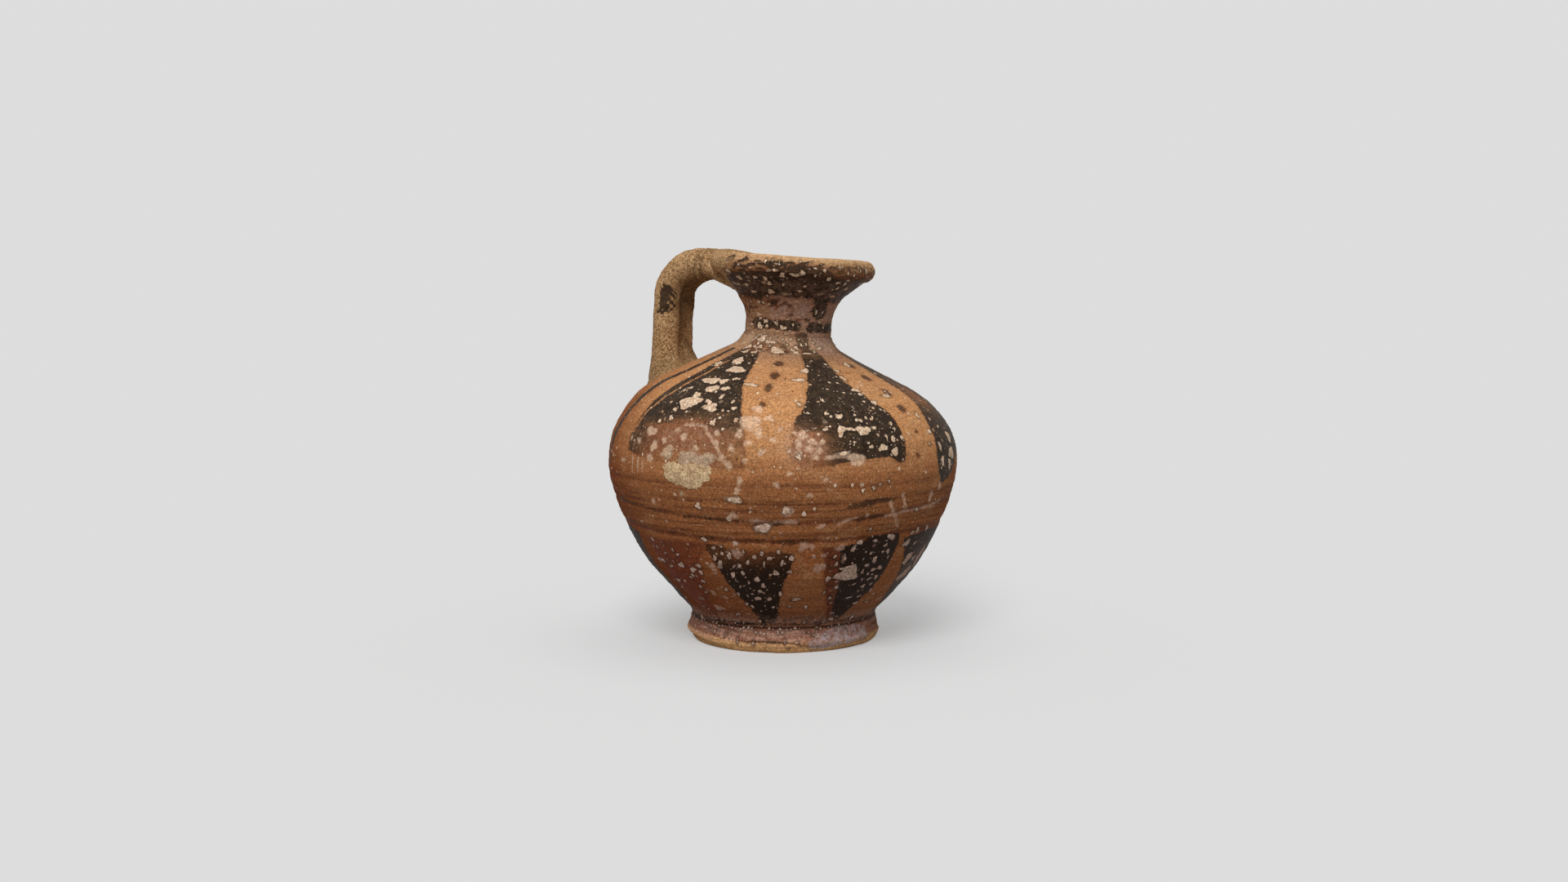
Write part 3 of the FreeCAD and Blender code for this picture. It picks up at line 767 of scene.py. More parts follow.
# Lime has grown on the clay in flakes, listed as (degrees, height, half width in degrees, half height).
flakes = (
    (-10, 84.8, 4, 1), (-4.5, 82.5, 5, 0.9), (-11, 79.2, 4.3, 0.9), (-4.5, 79.3, 1.8, 0.7),
    (0.5, 80.2, 2, 0.35), (-6.5, 77.3, 3, 0.8), (-0.5, 77.6, 2.2, 0.5), (-12, 73.4, 4.2, 1.6),
    (-11, 75.4, 1.5, 1), (-2, 72.6, 3.3, 0.9), (-4, 74, 1.3, 0.6), (0.3, 75.5, 0.7, 0.7),
    (-16.5, 71.3, 1, 0.6), (-20, 76.2, 0.9, 0.4), (-18, 77, 1.5, 0.3), (-22, 83.4, 2.5, 0.6),
    (-14.5, 87.3, 4, 0.3), (-5, 87.4, 3, 0.35), (-2, 88.8, 3, 0.35), (-14, 88.8, 3, 0.4),
    (7.3, 72.7, 0.9, 0.6), (6, 74.4, 0.8, 0.35), (9.5, 79, 3, 0.35), (1, 68.7, 1, 0.9),
    (-16.5, 69, 1, 0.8), (-21, 68, 1, 0.5), (16, 88, 7, 0.55), (44, 67.5, 1.2, 1.2), (47, 67.6, 3, 0.5),
    (51.8, 67.2, 2.3, 1.5), (44.6, 71.4, 1.2, 0.8), (40, 72, 0.8, 0.5), (33.5, 72.1, 0.9, 0.3),
    (52, 70.2, 0.7, 0.7), (54.6, 71, 0.6, 0.4), (57, 70.8, 0.8, 0.7), (58.5, 81.7, 1, 0.7),
    (58.3, 78.6, 2, 0.6), (59.5, 83.7, 2, 0.3), (62.5, 75.3, 1.3, 0.7), (64.5, 73, 0.6, 0.5),
    (63.8, 69, 0.9, 0.6), (64.3, 67.2, 0.6, 0.6), (43.5, 65.8, 0.7, 0.6), (57, 65.7, 0.6, 0.4),
    (62.5, 64.3, 1, 1), (60, 65, 0.5, 1.2), (66.5, 64.5, 0.7, 1), (47.5, 63.7, 0.5, 0.3),
    (53.4, 62.2, 0.8, 0.6), (57.6, 61.8, 1.7, 1), (62, 60.4, 1.5, 1.2), (43.5, 60.5, 2, 0.6),
    (37, 83.4, 2.7, 0.6), (40.5, 84.8, 1.3, 0.3), (32, 81, 3, 0.4), (39.7, 76, 0.7, 0.5),
    (29.6, 59.9, 0.8, 0.7), (34.5, 67.9, 1.6, 0.35), (38.6, 67.6, 0.9, 0.5), (30.5, 74.3, 0.7, 0.6),
    (76, 85.3, 2.6, 0.6), (72.5, 77, 2.6, 0.4), (88.3, 69.5, 1, 0.5), (91.7, 66.9, 0.8, 0.5),
    (82.8, 65.8, 1, 0.8), (86.3, 60.8, 0.9, 1.5), (86.8, 56.2, 1.4, 1.4), (93, 54.8, 1.5, 1.5),
    (96, 58, 2.5, 2), (97, 63, 2, 2), (79.5, 61.8, 0.8, 0.4), (81, 71, 1, 0.8), (18.5, 39.5, 2.8, 1.1),
    (10, 47.5, 2.4, 0.8), (-2.6, 45.3, 1.1, 0.9), (26, 44.8, 1.2, 1.2), (53.7, 50.5, 0.8, 0.6),
    (56, 51.5, 0.6, 0.4), (59.2, 52, 0.5, 0.6), (50, 50, 0.6, 0.5), (55, 38.4, 0.8, 0.4),
    (76.5, 35.7, 1, 0.7), (79.7, 36.2, 1.1, 0.9), (86.5, 36.3, 1.3, 0.9), (75.5, 32.7, 2, 1.2),
    (81.5, 32.3, 1, 0.7), (81.5, 27.5, 2.6, 1.8), (87, 27, 1.5, 0.9), (-3, 35.3, 1.3, 0.7),
    (0, 33, 1, 0.7), (1.3, 28.5, 0.9, 1.4), (5.5, 31, 1.1, 1.1), (5.3, 25, 1.1, 0.9), (9.6, 25.7, 1, 0.7),
    (14.5, 23.8, 1, 0.9), (11.2, 22.9, 0.7, 0.6), (16.8, 21.9, 1.1, 0.7), (7.2, 21.4, 0.7, 0.6),
    (15.3, 20, 1, 0.7), (13.6, 17.6, 1.6, 0.8), (18.8, 17.5, 1.2, 0.7), (23.8, 19.2, 1.1, 0.8),
    (5, 18.8, 1, 0.7), (7.5, 15.5, 1, 0.6), (10, 14.7, 1, 0.6), (20.2, 14.7, 0.9, 0.6),
    (22.3, 26, 1.3, 0.9), (27.5, 26.4, 1, 0.7), (20.2, 30.5, 1, 0.8), (14.8, 30.8, 0.9, 0.9),
    (28, 30.6, 1, 1), (23.5, 32.4, 1, 0.7), (12, 29, 0.9, 0.9), (56, 21.4, 1.2, 0.5), (57, 16.8, 2, 0.5),
    (48.4, 15.5, 1.2, 0.4), (61, 28.8, 1.3, 1), (58.3, 27.2, 1.1, 0.7), (66.3, 31, 1, 0.9),
    (64, 33, 0.9, 0.8), (65.5, 35.4, 1.8, 1), (58.5, 34.8, 1.2, 0.6), (65.5, 26, 1.3, 0.8),
    (66, 23, 1.1, 1), (61.5, 20.4, 1.4, 0.6), (43, 23.8, 1.5, 0.8), (45, 28, 0.7, 0.7),
    (31, 17.3, 2.6, 0.6), (36.2, 14.6, 1.3, 0.6), (28, 15, 1, 0.5), (63.5, 14.6, 1.6, 0.6),
    (68, 18.5, 0.9, 0.8), (72, 14.4, 2.2, 0.4), (-28.5, 31.2, 0.9, 0.6), (-17.5, 29.8, 0.9, 0.7),
    (-29, 27, 1.6, 0.8), (-25, 25.6, 1.3, 0.6), (-18, 26.5, 1.8, 1), (-12.5, 25.5, 1.7, 0.9),
    (-8.8, 27, 1.5, 0.7), (-14, 23.6, 1.3, 0.6), (-10.2, 22, 1, 0.6), (-26.5, 21, 1.9, 0.7),
    (-11, 12.6, 2, 0.6), (0, 11.6, 1.8, 0.5), (-22, 27.3, 0.9, 0.5), (-19.5, 31, 0.8, 0.6),
    (-24.5, 29.8, 0.8, 0.6), (-9, 25, 1.2, 0.7), (-16, 22.8, 0.9, 0.5), (-13.5, 20, 1.1, 0.6),
    (-28, 18.6, 1, 0.5), (-18, 15.6, 1.8, 0.4), (-23, 12.6, 1.6, 0.5), (-20, 11.9, 1.4, 0.4),
    (-12, 18.2, 1.2, 0.4), (-0.5, 30, 1, 1), (2.8, 31.4, 0.8, 0.8), (3, 33.7, 0.9, 0.6),
    (17.2, 21.8, 0.9, 0.8), (15.2, 24, 0.8, 0.9), (0, 20, 1, 0.7), (20.2, 25.4, 0.7, 0.6),
    (8.6, 28, 0.8, 1.2), (18, 28.6, 0.6, 1), (24.5, 29, 0.8, 0.9), (17.5, 32, 0.9, 0.8),
    (11, 32.4, 0.8, 0.6), (6.4, 27.6, 0.6, 0.8), (12.6, 20.2, 0.6, 0.5), (21.5, 22.6, 0.6, 0.5),
    (9.2, 18.4, 0.6, 0.5), (16.2, 15.2, 0.6, 0.4), (52.3, 34.7, 1.1, 0.9), (50.4, 32.9, 1, 1.2),
    (44.8, 28.4, 0.7, 1), (47.8, 30.3, 0.7, 1.1), (43.8, 30.7, 0.8, 0.6), (67.7, 29, 0.6, 0.8),
    (62.6, 25.6, 1.4, 0.6), (57.3, 25.2, 0.6, 1), (60.6, 24.4, 0.8, 0.5), (58.9, 22.7, 0.8, 0.7),
    (62.5, 22.6, 0.9, 0.6), (65.5, 20.7, 0.8, 0.7), (63, 16.9, 1.3, 0.5), (47, 17.2, 1.2, 0.6),
    (43.1, 19.2, 0.8, 0.6), (48, 20.7, 1.3, 0.6), (52.6, 11.8, 1.6, 0.4), (54, 9.6, 2.4, 0.6),
    (60, 13.8, 0.8, 0.3), (58.3, 31, 0.6, 1), (63.8, 31, 0.7, 0.6), (55.6, 29.4, 0.5, 0.6),
    (37.5, 9.2, 1.8, 0.5), (70, 9.4, 2.2, 0.7), (11.5, 9.6, 1.4, 0.5), (-18, 9, 1.4, 0.4),
    (74.5, 42.8, 1, 0.4), (67.8, 18.8, 0.9, 0.6),
)
flakes += speck_row(np.arange(-36, 72, 3.1), (8.3, 11.0), (0.5, 1.1), (0.22, 0.45))
# Thin films of lime, soft at their edges.
films = (
    (-23, 65.2, 2.5, 1.3), (-19.8, 61.5, 1.7, 1.5), (-13.5, 60, 2.6, 1.8), (-6, 58.9, 3.2, 2.2),
    (0, 58.4, 3.8, 2), (18.5, 61, 1.3, 1.1), (38.5, 27.4, 2.2, 1.6), (39.5, 31.2, 1, 0.7),
    (31.8, 34, 1.6, 1.5), (35, 33.8, 1, 0.9), (45, 33.2, 1.6, 0.9), (8.6, 31.6, 1.8, 1.5),
    (-2.5, 27, 1.6, 1.2), (-2.5, 17.2, 1.8, 0.6), (-8, 18.5, 1.4, 0.8), (-10, 13.2, 3, 0.9),
    (-19, 15.6, 2.6, 0.6), (26.5, 44.6, 1.6, 1.8), (9, 43, 1.6, 1.2), (16, 41.6, 3.2, 0.5),
    (26, 41.4, 3.4, 0.7), (37, 40, 1.6, 0.7), (47.5, 30, 1, 1.4), (82, 14.6, 2.6, 0.6), (88, 22, 4, 2.2),
    (94, 27, 2.6, 3), (86, 48.8, 1.4, 1.2), (81, 46.3, 1.2, 1.6), (13.5, 58.6, 0.9, 0.6),
    (8.5, 57, 1, 1.5), (12, 53, 1, 1.2), (23, 52, 1.2, 0.9), (14, 69, 3, 2.4), (17, 66.5, 1.6, 1.4),
    (11, 66, 1.4, 1.2), (20, 70.5, 1.4, 1), (16, 72.8, 2, 0.9), (14, 63.5, 1.2, 1), (22, 64.5, 1, 0.8),
    (24, 67.5, 0.9, 0.7), (9, 62, 1, 1.2), (31, 66.2, 1.6, 1), (34, 64.2, 1.4, 1.2),
    (29.8, 63.4, 1.3, 1.1), (36, 61.5, 1.2, 1), (33, 62, 1.3, 1.1), (29.6, 60.2, 1.3, 1.2),
    (31.5, 65.6, 1.5, 0.9), (37.2, 64, 1, 0.8), (34.8, 59.6, 1.2, 1), (38.8, 59.4, 1.5, 0.8),
    (28.6, 66.6, 1, 0.7), (41.5, 60, 1.4, 0.7), (-30, 56.6, 0.5, 2.4), (-26.8, 56.4, 0.5, 2),
    (-24.5, 55.8, 0.4, 1.6), (-15.5, 63.2, 1.2, 0.9), (-3, 61.8, 1, 0.8), (-21, 58.2, 1.6, 1),
    (6, 59.4, 1, 0.9), (11, 50.2, 1, 0.9), (-11.5, 66.2, 1, 0.6), (-33, 63, 0.8, 0.7), (3.5, 66, 1, 0.8),
    (-28, 62.5, 1.2, 0.8), (-8, 64.5, 1.4, 1), (4, 63, 1, 0.9), (-36, 56.5, 1.4, 0.8), (27, 55.2, 1, 0.7),
    (38, 53.4, 0.9, 0.7), (33, 49, 1, 0.8), (-8, 48.6, 0.9, 0.7), (-21, 45.5, 1, 0.7),
    (9, 43.4, 1.1, 0.8), (18.5, 39.6, 3.2, 1.3), (9.5, 47.6, 2.6, 1), (26, 44.8, 1.4, 1.2),
    (47.5, 58.8, 3.2, 1.8), (44, 60, 2, 1), (130, 60, 2, 1.4), (205, 64, 3, 1.6),
)
# Two patches of crust, grey and tan, and thin strokes of the same film.
grey_patch = (
    (45.5, 27), (49, 27.5), (53, 28.2), (54.5, 26.5), (55, 24.5), (56.5, 24), (55, 23), (50, 22.8),
    (47, 23.5), (44.5, 24), (46, 25.5), (48.5, 25.8),
)
tan_patch = (
    (-15, 56.2), (-14.2, 54.6), (-14.8, 53.4), (-12.5, 52.2), (-10, 51), (-7.5, 50.8), (-5, 50),
    (-3, 50.1), (-1, 50.8), (0, 52.2), (2.6, 52.9), (2.2, 54.3), (3.4, 55.4), (2.2, 57), (1, 56.6),
    (-1, 57.6), (-3, 57.1), (-6, 57.5), (-8, 56.8), (-10, 57.6), (-13, 57.4), (-13.6, 56.6),
)
strokes = (
    ((61, 45.8), (63, 43), (65, 40.4), (67, 38)), ((65.6, 48), (67, 46), (68.2, 44.2)),
    ((65.9, 47.4), (67.6, 45.2)), ((43, 40.3), (45.5, 41.5), (49, 42.2)),
    ((60, 41.8), (68, 42.8), (75, 43), (83, 43.3), (90, 44.4)),
    ((-9, 67.7), (-4, 67.8), (-1, 67.5), (0, 66), (2, 64.5), (4, 62.5), (6, 59.5), (8, 57)),
)

# Slip has run into dark smears beside the lines.
belly_smears = (
    ((-14, 42.2), (-6, 42.1), (2, 42), (12, 41.8), (20, 41.5), (31, 41.2), (31, 40.4), (20, 40.5),
     (8, 40.8), (-4, 41.2), (-13, 41.6)),
    ((-50, 44.6), (-44, 44.9), (-36, 44.4), (-28, 43.7), (-22, 43.2), (-22, 42.7), (-30, 43), (-40, 43.7),
     (-50, 43.8)),
    ((-48, 38.3), (-38, 38), (-30, 37.6), (-30, 37.1), (-40, 37.3), (-48, 37.6)),
    ((44, 44.7), (47, 46.7), (54, 47.3), (60, 47.1), (63, 46.4), (56, 45.7), (50, 45), (46, 44.1)),
    ((46.5, 41.1), (50, 42.5), (55, 42.8), (59, 42.6), (55, 41.3), (50, 40.7)),
    ((222, 45), (228, 46.8), (238, 46.9), (232, 45.2)),
    ((160, 41), (170, 42.6), (178, 42.2), (169, 40.9)),
)

# Lines run round the belly: (height at the front, rise towards the sides, half width, depth of the groove).
belly_lines = (
    (40.9, 4, 0.5, 0.25), (35.5, 1.8, 0.75, 0.22), (37.6, 1, 0.2, 0.08), (46.4, 1.4, 0.3, 0.12),
    (43.9, 3, 0.18, 0.06), (51.3, 0.6, 0.14, 0.05),
)

brush_skips = ripple(47, 16, (3, 26), (2.0, 9.0))
# The handle's collar is smeared over the shoulder in an oval: its distance from the middle and half sizes.
root_distance, root_half_depth, root_half_width = 40.0, 9.5, 13.5


def line_height(angle, front, rise):
    return front + rise * (1 - facing(angle, 25, 55)) + 0.12 * np.sin(3 * angle + front)


def body_skin(angle, radius, height):
    lift = thrown_skin(angle, height)
    for front, rise, half, deep in belly_lines:
        lift = lift - deep * near(height, line_height(angle, front, rise), half + 0.25)
    lift = lift - 0.6 * facing(angle, -62, 30) * near(height, 17, 8)
    raised = body_wall_paint.nearest(angle, height, (grey_patch, tan_patch), flakes)
    lift = lift + 0.10 * held(raised / 0.35)
    return lift * (1 - 0.8 * near(height, shoulder_top, 3)) - joint_groove(height)


def body_marks(angle, radius, height):
    made = new_marks(angle)
    wall = body_wall_paint
    turn = degrees_from(angle, 25) + 25
    sway = height + 1.4 * finger_dents(angle, height) + 0.6 * wheel_lines(angle, height)
    skips = brush_skips(angle, height)

    tongue = wall.nearest(angle, height, tongues)
    tongue = np.minimum(tongue, -wall.shape(scraped_line, angle, height, False) - 0.4)
    beside = wall.nearest(angle, height, lines=[(1.45, line) for line in handle_lines])
    beside = beside - 0.9 * held((60 - height) / 6) - 0.7 * held((height - 83) / 5)
    dots = wall.nearest(angle, height, spots=tongue_dots, lumpy=0.25)
    smears = np.minimum(wall.nearest(angle, height, belly_smears), 0.35) + 0.30 * skips - 0.12
    ray_edges = [(wall.shape(ray, angle, height), red) for ray, red in rays]
    ray = np.max([edge for edge, _ in ray_edges], axis=0)
    lines = [half - np.abs(height - line_height(angle, *line)) for *line, half, _ in belly_lines]
    lines = np.max(lines, axis=0) + 0.22 * skips - 0.08
    crease = 0.42 + 0.22 * skips - np.abs(height - 8.5 - 0.15 * np.sin(2 * angle))
    painted = np.max([tongue, beside, dots, ray, lines, smears, crease], axis=0)
    made["slip"] = held(painted, -mark_reach, mark_reach)

    # How red each part of the pattern has fired, and how thin its slip has worn.
    misfired = held((70.8 - sway) / 4.5) * near(turn, -8, 24)
    misfired = misfired * (1 - blotches(turn, height, (0.5, -31, 5, 64, 4)))
    misfired = misfired + blotches(turn, sway, (1.25, 30.5, 8.5, 61, 5.8))
    misfired = misfired + blotches(turn, height, (0.7, 97, 10, 76, 5))
    misfired = misfired + 0.8 * facing(angle, 190, 14) * near(height, 62, 6)
    faded = near(turn, -10, 26) * held((62.5 - sway) / 5) + near(turn, 13, 6) * held((70 - height) / 8)
    worn_top = 0.55 * held((height - 86.2) / 2)
    purple = blotches(turn, sway, (0.45, 30, 8, 61, 5.5))
    fired = np.where(tongue > -1, misfired, 0.1)
    thin = np.where(tongue > -1, held(misfired * 0.55 + faded * 0.6 + worn_top + purple), 0.0)
    for here, red, bare in (
        (dots > -0.5, 0.38, 0.25),
        *((edge > -0.3, red, red * 0.12) for edge, red in ray_edges),
        (smears > -0.4, 0.22, 0.28),
    ):
        fired, thin = np.where(here, red, fired), np.where(here, bare, thin)
    on_line = (lines > -0.3) & (ray < 0) & (tongue < 0) & (smears < -0.4)
    above_rays = near(height, 35.9, 1.6) * near(turn, 26, 34)
    upper_ray = (ray > -0.3) * near(height, 32.5, 3.4) * near(turn, 11, 14)
    made["fired"] = held(np.where(on_line, 0.50 - 0.12 * above_rays, fired) + 0.45 * upper_ray, 0, 1.2)
    made["thin"] = held(np.where(on_line, 0.38 - 0.1 * above_rays, thin) + 0.90 * upper_ray)

    # Lime, films, smears, bloom and stains.
    made["flake"] = wall.nearest(angle, height, (grey_patch, tan_patch), flakes) - 0.10 * (height < 37)
    made["haze"] = wall.nearest(angle, height, spots=films, lines=[(0.5, stroke) for stroke in strokes])
    made["ochre"] = held((wall.shape(tan_patch, angle, height) + 4.5) / 2)
    depth, width = radius * np.sin(angle) + root_distance, radius * np.cos(angle)
    from_root = np.hypot(depth / root_half_depth, width / root_half_width)
    made["smear"] = held((1.22 - from_root) * 5 - 6 * (height < 66), -2, 2)
    made["stain"] = held(blotches(
        turn, height, (1, -30, 30, 18, 14), (1, -54, 24, 49, 18), (0.65, -56, 20, 72, 11),
        (0.45, 110, 22, 40, 20), (0.35, 14, 30, 10, 4),
    ))
    clear = held(blotches(turn, height, (1, 44, 11, 78, 8.5), (0.7, 49, 11, 62.5, 4)))
    sides = 0.45 * near(turn, 100, 24) * (height > 48) + 0.2 * near(turn, 18, 12) + blotches(
        turn, height, (0.40, 64, 12, 70, 11), (0.40, 19, 8, 75, 6.5), (0.35, -14, 16, 70.5, 3),
    )
    made["lime"] = held(
        0.28 + 0.60 * held(tongue / 1.5) * (1 - 0.85 * clear) + 0.35 * near(height, 76, 7) * (1 - clear)
        + sides + 0.28 * held(ray / 1.5) + 0.22 * near(height, 22, 11)
    )
    made["bloom"] = held(0.7 * near(height, 9.5, 1.6) + blotches(
        turn, height, (0.8, -1, 6, 58.6, 2), (0.9, 31, 6, 62.5, 4.5), (0.45, -8, 14, 64.5, 3.5),
        (0.45, 91, 10, 24, 7),
    ))
    made["streak"] = 0.22 + 0.78 * near(height, 43, 9) + 0.2 * near(height, 12, 6)
    return made


step_outer = part_of(body_line, body_joint, body_joint + 1)[0]
step_inner = part_of(body_inner, joint_step_height, joint_step_height + 1)[0]
step_low, step_high = (((step_outer[0] + step_inner[0]) / 2, h) for h in (body_joint, joint_step_height))
bowl_inside = part_of(body_inner, floor_top, joint_step_height)[::-1]
lower_body = turned("jug_lower_body", [
    *hidden((1.5, 1.0, 1.2), (0, spigot_height), spigot_end, spigot_root, foot_top),
    (part_of(body_line, foot_height, body_joint), body_step, True),
    *hidden((0.8, 0.8, 0.8), step_outer, step_low, step_high, step_inner),
    (bowl_inside, 1.2, False),
    ((bowl_inside[-1], (0, floor_top)), 1.5, False),
], body_skin, body_marks, closed=False)

shoulder_edge, neck_seat = (shoulder_top_radius, shoulder_top), (neck_radius, shoulder_top)
tenon_seat = (neck_radius, tenon_height)
shoulder_inside = part_of(body_inner, joint_step_height, hollow_top)[::-1]
shoulder = turned("jug_shoulder", [
    (part_of(body_line, body_joint, shoulder_top), body_step, True),
    *hidden((0.8, 1.0, 0.8), shoulder_edge, neck_seat, tenon_seat, shoulder_inside[0]),
    (shoulder_inside, hollow_step, False),
    *hidden((0.8, 0.8, 0.8), step_inner, step_high, step_low, step_outer),
], body_skin, body_marks)

# The clay is drawn darker low on the bowl than on the shoulder: partly its own browner tone, partly painted
# shade under the belly.
body_clay = painted_clay("body_clay", (
    (7.75, 120, 74, 50), (9.5, 150, 96, 64), (22, 158, 99, 60), (33, 156, 95, 56), (37, 166, 106, 64),
    (42, 150, 94, 58), (47, 158, 102, 62), (53, 166, 108, 68), (60, 190, 134, 88), (74, 203, 146, 96),
    (84, 196, 142, 96), (88, 168, 128, 98),
), srgb(176, 140, 122))
finish_piece(lower_body, body_clay, "slipped_clay", "lower_body")
finish_piece(shoulder, body_clay, "slipped_clay", "shoulder")


# Neck: a short thrown tube set in the shoulder's opening, with a coil of clay worked into the corner.
# It flares at the top to carry the mouth. Its slip has worn to a thin brown wash.
neck_top, neck_bore, neck_spigot_radius, neck_spigot_top = 104.6, 8.75, 12.2, 106.1
neck_edge, coil_edge, coil_root = (16.0, neck_top), (13.5, 92.6), (neck_radius, 92.6)
spigot_seat, mouth_seat = (neck_spigot_radius, neck_top), (neck_spigot_radius, neck_spigot_top)
bore_end = (neck_bore, neck_spigot_top)
neck_flare = bow((neck_radius, 97.6), (14.04, 101.1), neck_edge)
coil_outside = bow(shoulder_edge, (14.79, 90.3), coil_edge)
above_coil = (neck_radius, coil_edge[1] + 0.01)
neck_wall_paint = PaintedWall(np.concatenate([coil_outside, [above_coil], neck_flare]))
# What is left of the slip on the neck, listed as on the body: a ragged band, a run down from the mouth, a
# blot and a short upright, then dots and thin strokes of it, and flakes of lime.
neck_patches = (
    ((-32, 97.2), (-28, 96.6), (-24, 97.1), (-20, 97.5), (-14, 97), (-8, 97.4), (-2, 97.3), (4, 97),
     (12, 97.5), (20, 97.3), (28, 97.6), (36, 97.4), (40.5, 97), (41, 95.5), (39, 94.4), (32, 94.3),
     (22, 94.5), (12, 94.4), (4, 94.6), (-4, 94.3), (-12, 94.4), (-18, 94.2), (-24, 94.3), (-28, 95.4)),
    ((50, 94.4), (50, 96.4), (56, 97.2), (64, 97.3), (70, 97), (78, 96.6), (86, 97.4), (96, 97.2),
     (105, 96), (104, 94.3), (84, 94), (64, 94.2)),
    ((-16, 105), (-5, 105), (-8, 102.8), (-6, 101.6), (-10, 101.5), (-13, 102.5), (-15, 103.5)),
    ((51, 105), (55, 102.4), (53, 100.6), (57, 99.4), (62, 98.4), (70, 98.3), (74, 99.3), (75.5, 101),
     (72, 103), (69, 105)),
    ((34.5, 93.8), (36, 91.5), (38, 89.5), (44, 88.3), (50, 88.3), (51, 91), (50.5, 93.8)),
    ((120, 97), (140, 97.5), (165, 97), (190, 97.4), (206, 96.8), (206, 94.6), (180, 94.2), (150, 94.6),
     (124, 94.3)),
    ((218, 96.9), (236, 97.4), (258, 97), (270, 97.3), (284, 96.8), (283, 94.6), (262, 94.3), (240, 94.7),
     (220, 94.3)),
    ((150, 105), (166, 105), (163, 102.2), (156, 101.4)),
    ((228, 105), (243, 105), (240, 103), (233, 101.8)),
)
neck_dots = ((5, 102.2, 8, 1.2), (130, 101.5, 6, 1.2), (195, 101, 6, 1.1), (262, 101.6, 7, 1.1))
neck_strokes = (
    (0.28, ((-38, 98.8), (-33, 100.2), (-28, 100.7), (-20, 100.3))),
    (0.3, ((14, 102.2), (19, 102.4), (24, 101.5), (29, 100.6))), (0.25, ((21, 98.1), (28, 99))),
    (0.28, ((42, 97.8), (53, 97.8))), (0.55, ((5, 87.9), (8, 89.4), (16, 90.2), (23, 89.5), (26, 88))),
    (0.3, ((300, 99.5), (310, 100.8), (318, 100.2))),
)
neck_flakes = (
    (-6, 96.6, 3.2, 0.55), (-3, 95.2, 2.6, 0.6), (-14, 95, 5, 0.8), (20, 95, 2.6, 0.5), (9, 96.3, 2, 0.5),
    (16, 95.2, 1.5, 0.5), (-14, 97.3, 3, 0.4), (31, 96.2, 1.6, 0.4), (60, 100.4, 2, 0.6),
    (70, 100.3, 1.6, 0.5), (-7, 91.3, 5, 0.8), (-4, 89.1, 2.2, 0.5), (-9, 90, 2, 0.4), (2, 90.5, 3, 0.6),
    (8, 90.6, 3.5, 0.45), (-18, 88.8, 3, 0.6), (-13, 92.4, 3, 0.3), (15, 88.4, 6, 0.8),
    (35, 89.6, 2, 0.5), (34, 88.3, 2.6, 0.6), (45, 88.1, 5, 0.4), (42, 90.2, 1.8, 0.6),
    (-27, 102.1, 2, 0.4), (-1, 104.2, 1.5, 0.4), (64, 89.6, 3, 0.4), (140, 96, 3, 0.6),
    (178, 95.5, 3, 0.6), (240, 96, 3, 0.6), (120, 90.5, 5, 0.6), (160, 89.5, 5, 0.6), (210, 91, 5, 0.6),
    (255, 89.6, 4, 0.6), (-20, 90.6, 1.8, 0.35), (-16, 91.6, 1.6, 0.4), (-11, 88.9, 2, 0.35),
    (-9, 92.2, 1.6, 0.35), (-3, 92.4, 1.8, 0.3), (4, 91.8, 1.4, 0.35), (6, 89.4, 1.4, 0.3),
    (12, 91.9, 1.6, 0.3), (19, 91.6, 1.4, 0.35), (25, 90.2, 1.4, 0.4), (29, 91.9, 1.6, 0.3),
    (30, 89, 1.6, 0.35), (39, 91.9, 1.4, 0.3), (48, 90.6, 1.6, 0.35), (55, 88.8, 1.8, 0.35),
    (58, 91.2, 1.4, 0.3),
)
neck_rubs = ripple(53, 20, (5, 32), (0.9, 2.8))


def full_side(angle, height):
    """The fuller side of the neck and mouth, next to the handle."""
    return 0.75 * facing(angle, -68, 42) * near(height, 103.6, 3.4)


def neck_skin(angle, radius, height):
    fade = held((height - shoulder_top) / 1.5, 0.2)
    raised = held(neck_wall_paint.nearest(angle, height, spots=neck_flakes) / 0.3)
    return thrown_skin(angle, height) * 0.85 * fade + 0.08 * raised * fade + full_side(angle, height)


def neck_marks(angle, radius, height):
    made = new_marks(angle)
    turn = degrees_from(angle, 25) + 25
    patches = neck_wall_paint.nearest(angle, height, neck_patches, neck_dots, neck_strokes)
    patches = np.minimum(patches, 0.5) + 0.34 * neck_rubs(angle, height) + 0.10
    under_mouth = height - 104.0 - 0.4 * np.sin(3 * angle) - 0.3 * np.sin(7 * angle + 1)
    tongue_tops = body_wall_paint.nearest(angle, np.full_like(height, 86.4), tongues)
    tongue_tops = tongue_tops - (height - shoulder_top) * 1.6
    reddish = blotches(turn, height, (1, -9, 14, 90, 2.4))
    red_edge = np.where(reddish > 0.5, reddish - 0.5, -2)
    painted = np.max([patches, under_mouth, tongue_tops], axis=0)
    made["slip"] = np.maximum(held(painted, -mark_reach, mark_reach), red_edge)
    band, right = near(height, 95.8, 1.6), near(turn, 62, 16)
    blot = blotches(turn, height, (1, 4, 12, 102, 2))
    made["fired"] = 0.28 + 0.12 * blot - 0.3 * right - 0.14 * band + reddish * 0.7
    made["thin"] = held(
        0.35 - 0.3 * right - 0.3 * near(height, 104.6, 1.0) - 0.28 * band - 0.25 * blot
        + 0.2 * near(height, 91, 2.4)
    )
    made["flake"] = neck_wall_paint.nearest(angle, height, spots=neck_flakes)
    made["lime"] = held(0.60 + 0.40 * near(height, 95.8, 1.8) + 0.3 * near(turn, -12, 14))
    mauve = held((turn + 8) / 14) * held((112 - turn) / 16) * near(height, 100.5, 4.5)
    side = blotches(turn, height, (1, 72, 26, 91.5, 4))
    made["bloom"] = held(mauve + side) * (1 - 0.8 * held(patches + 0.5))
    made["streak"] += 0.35
    return made


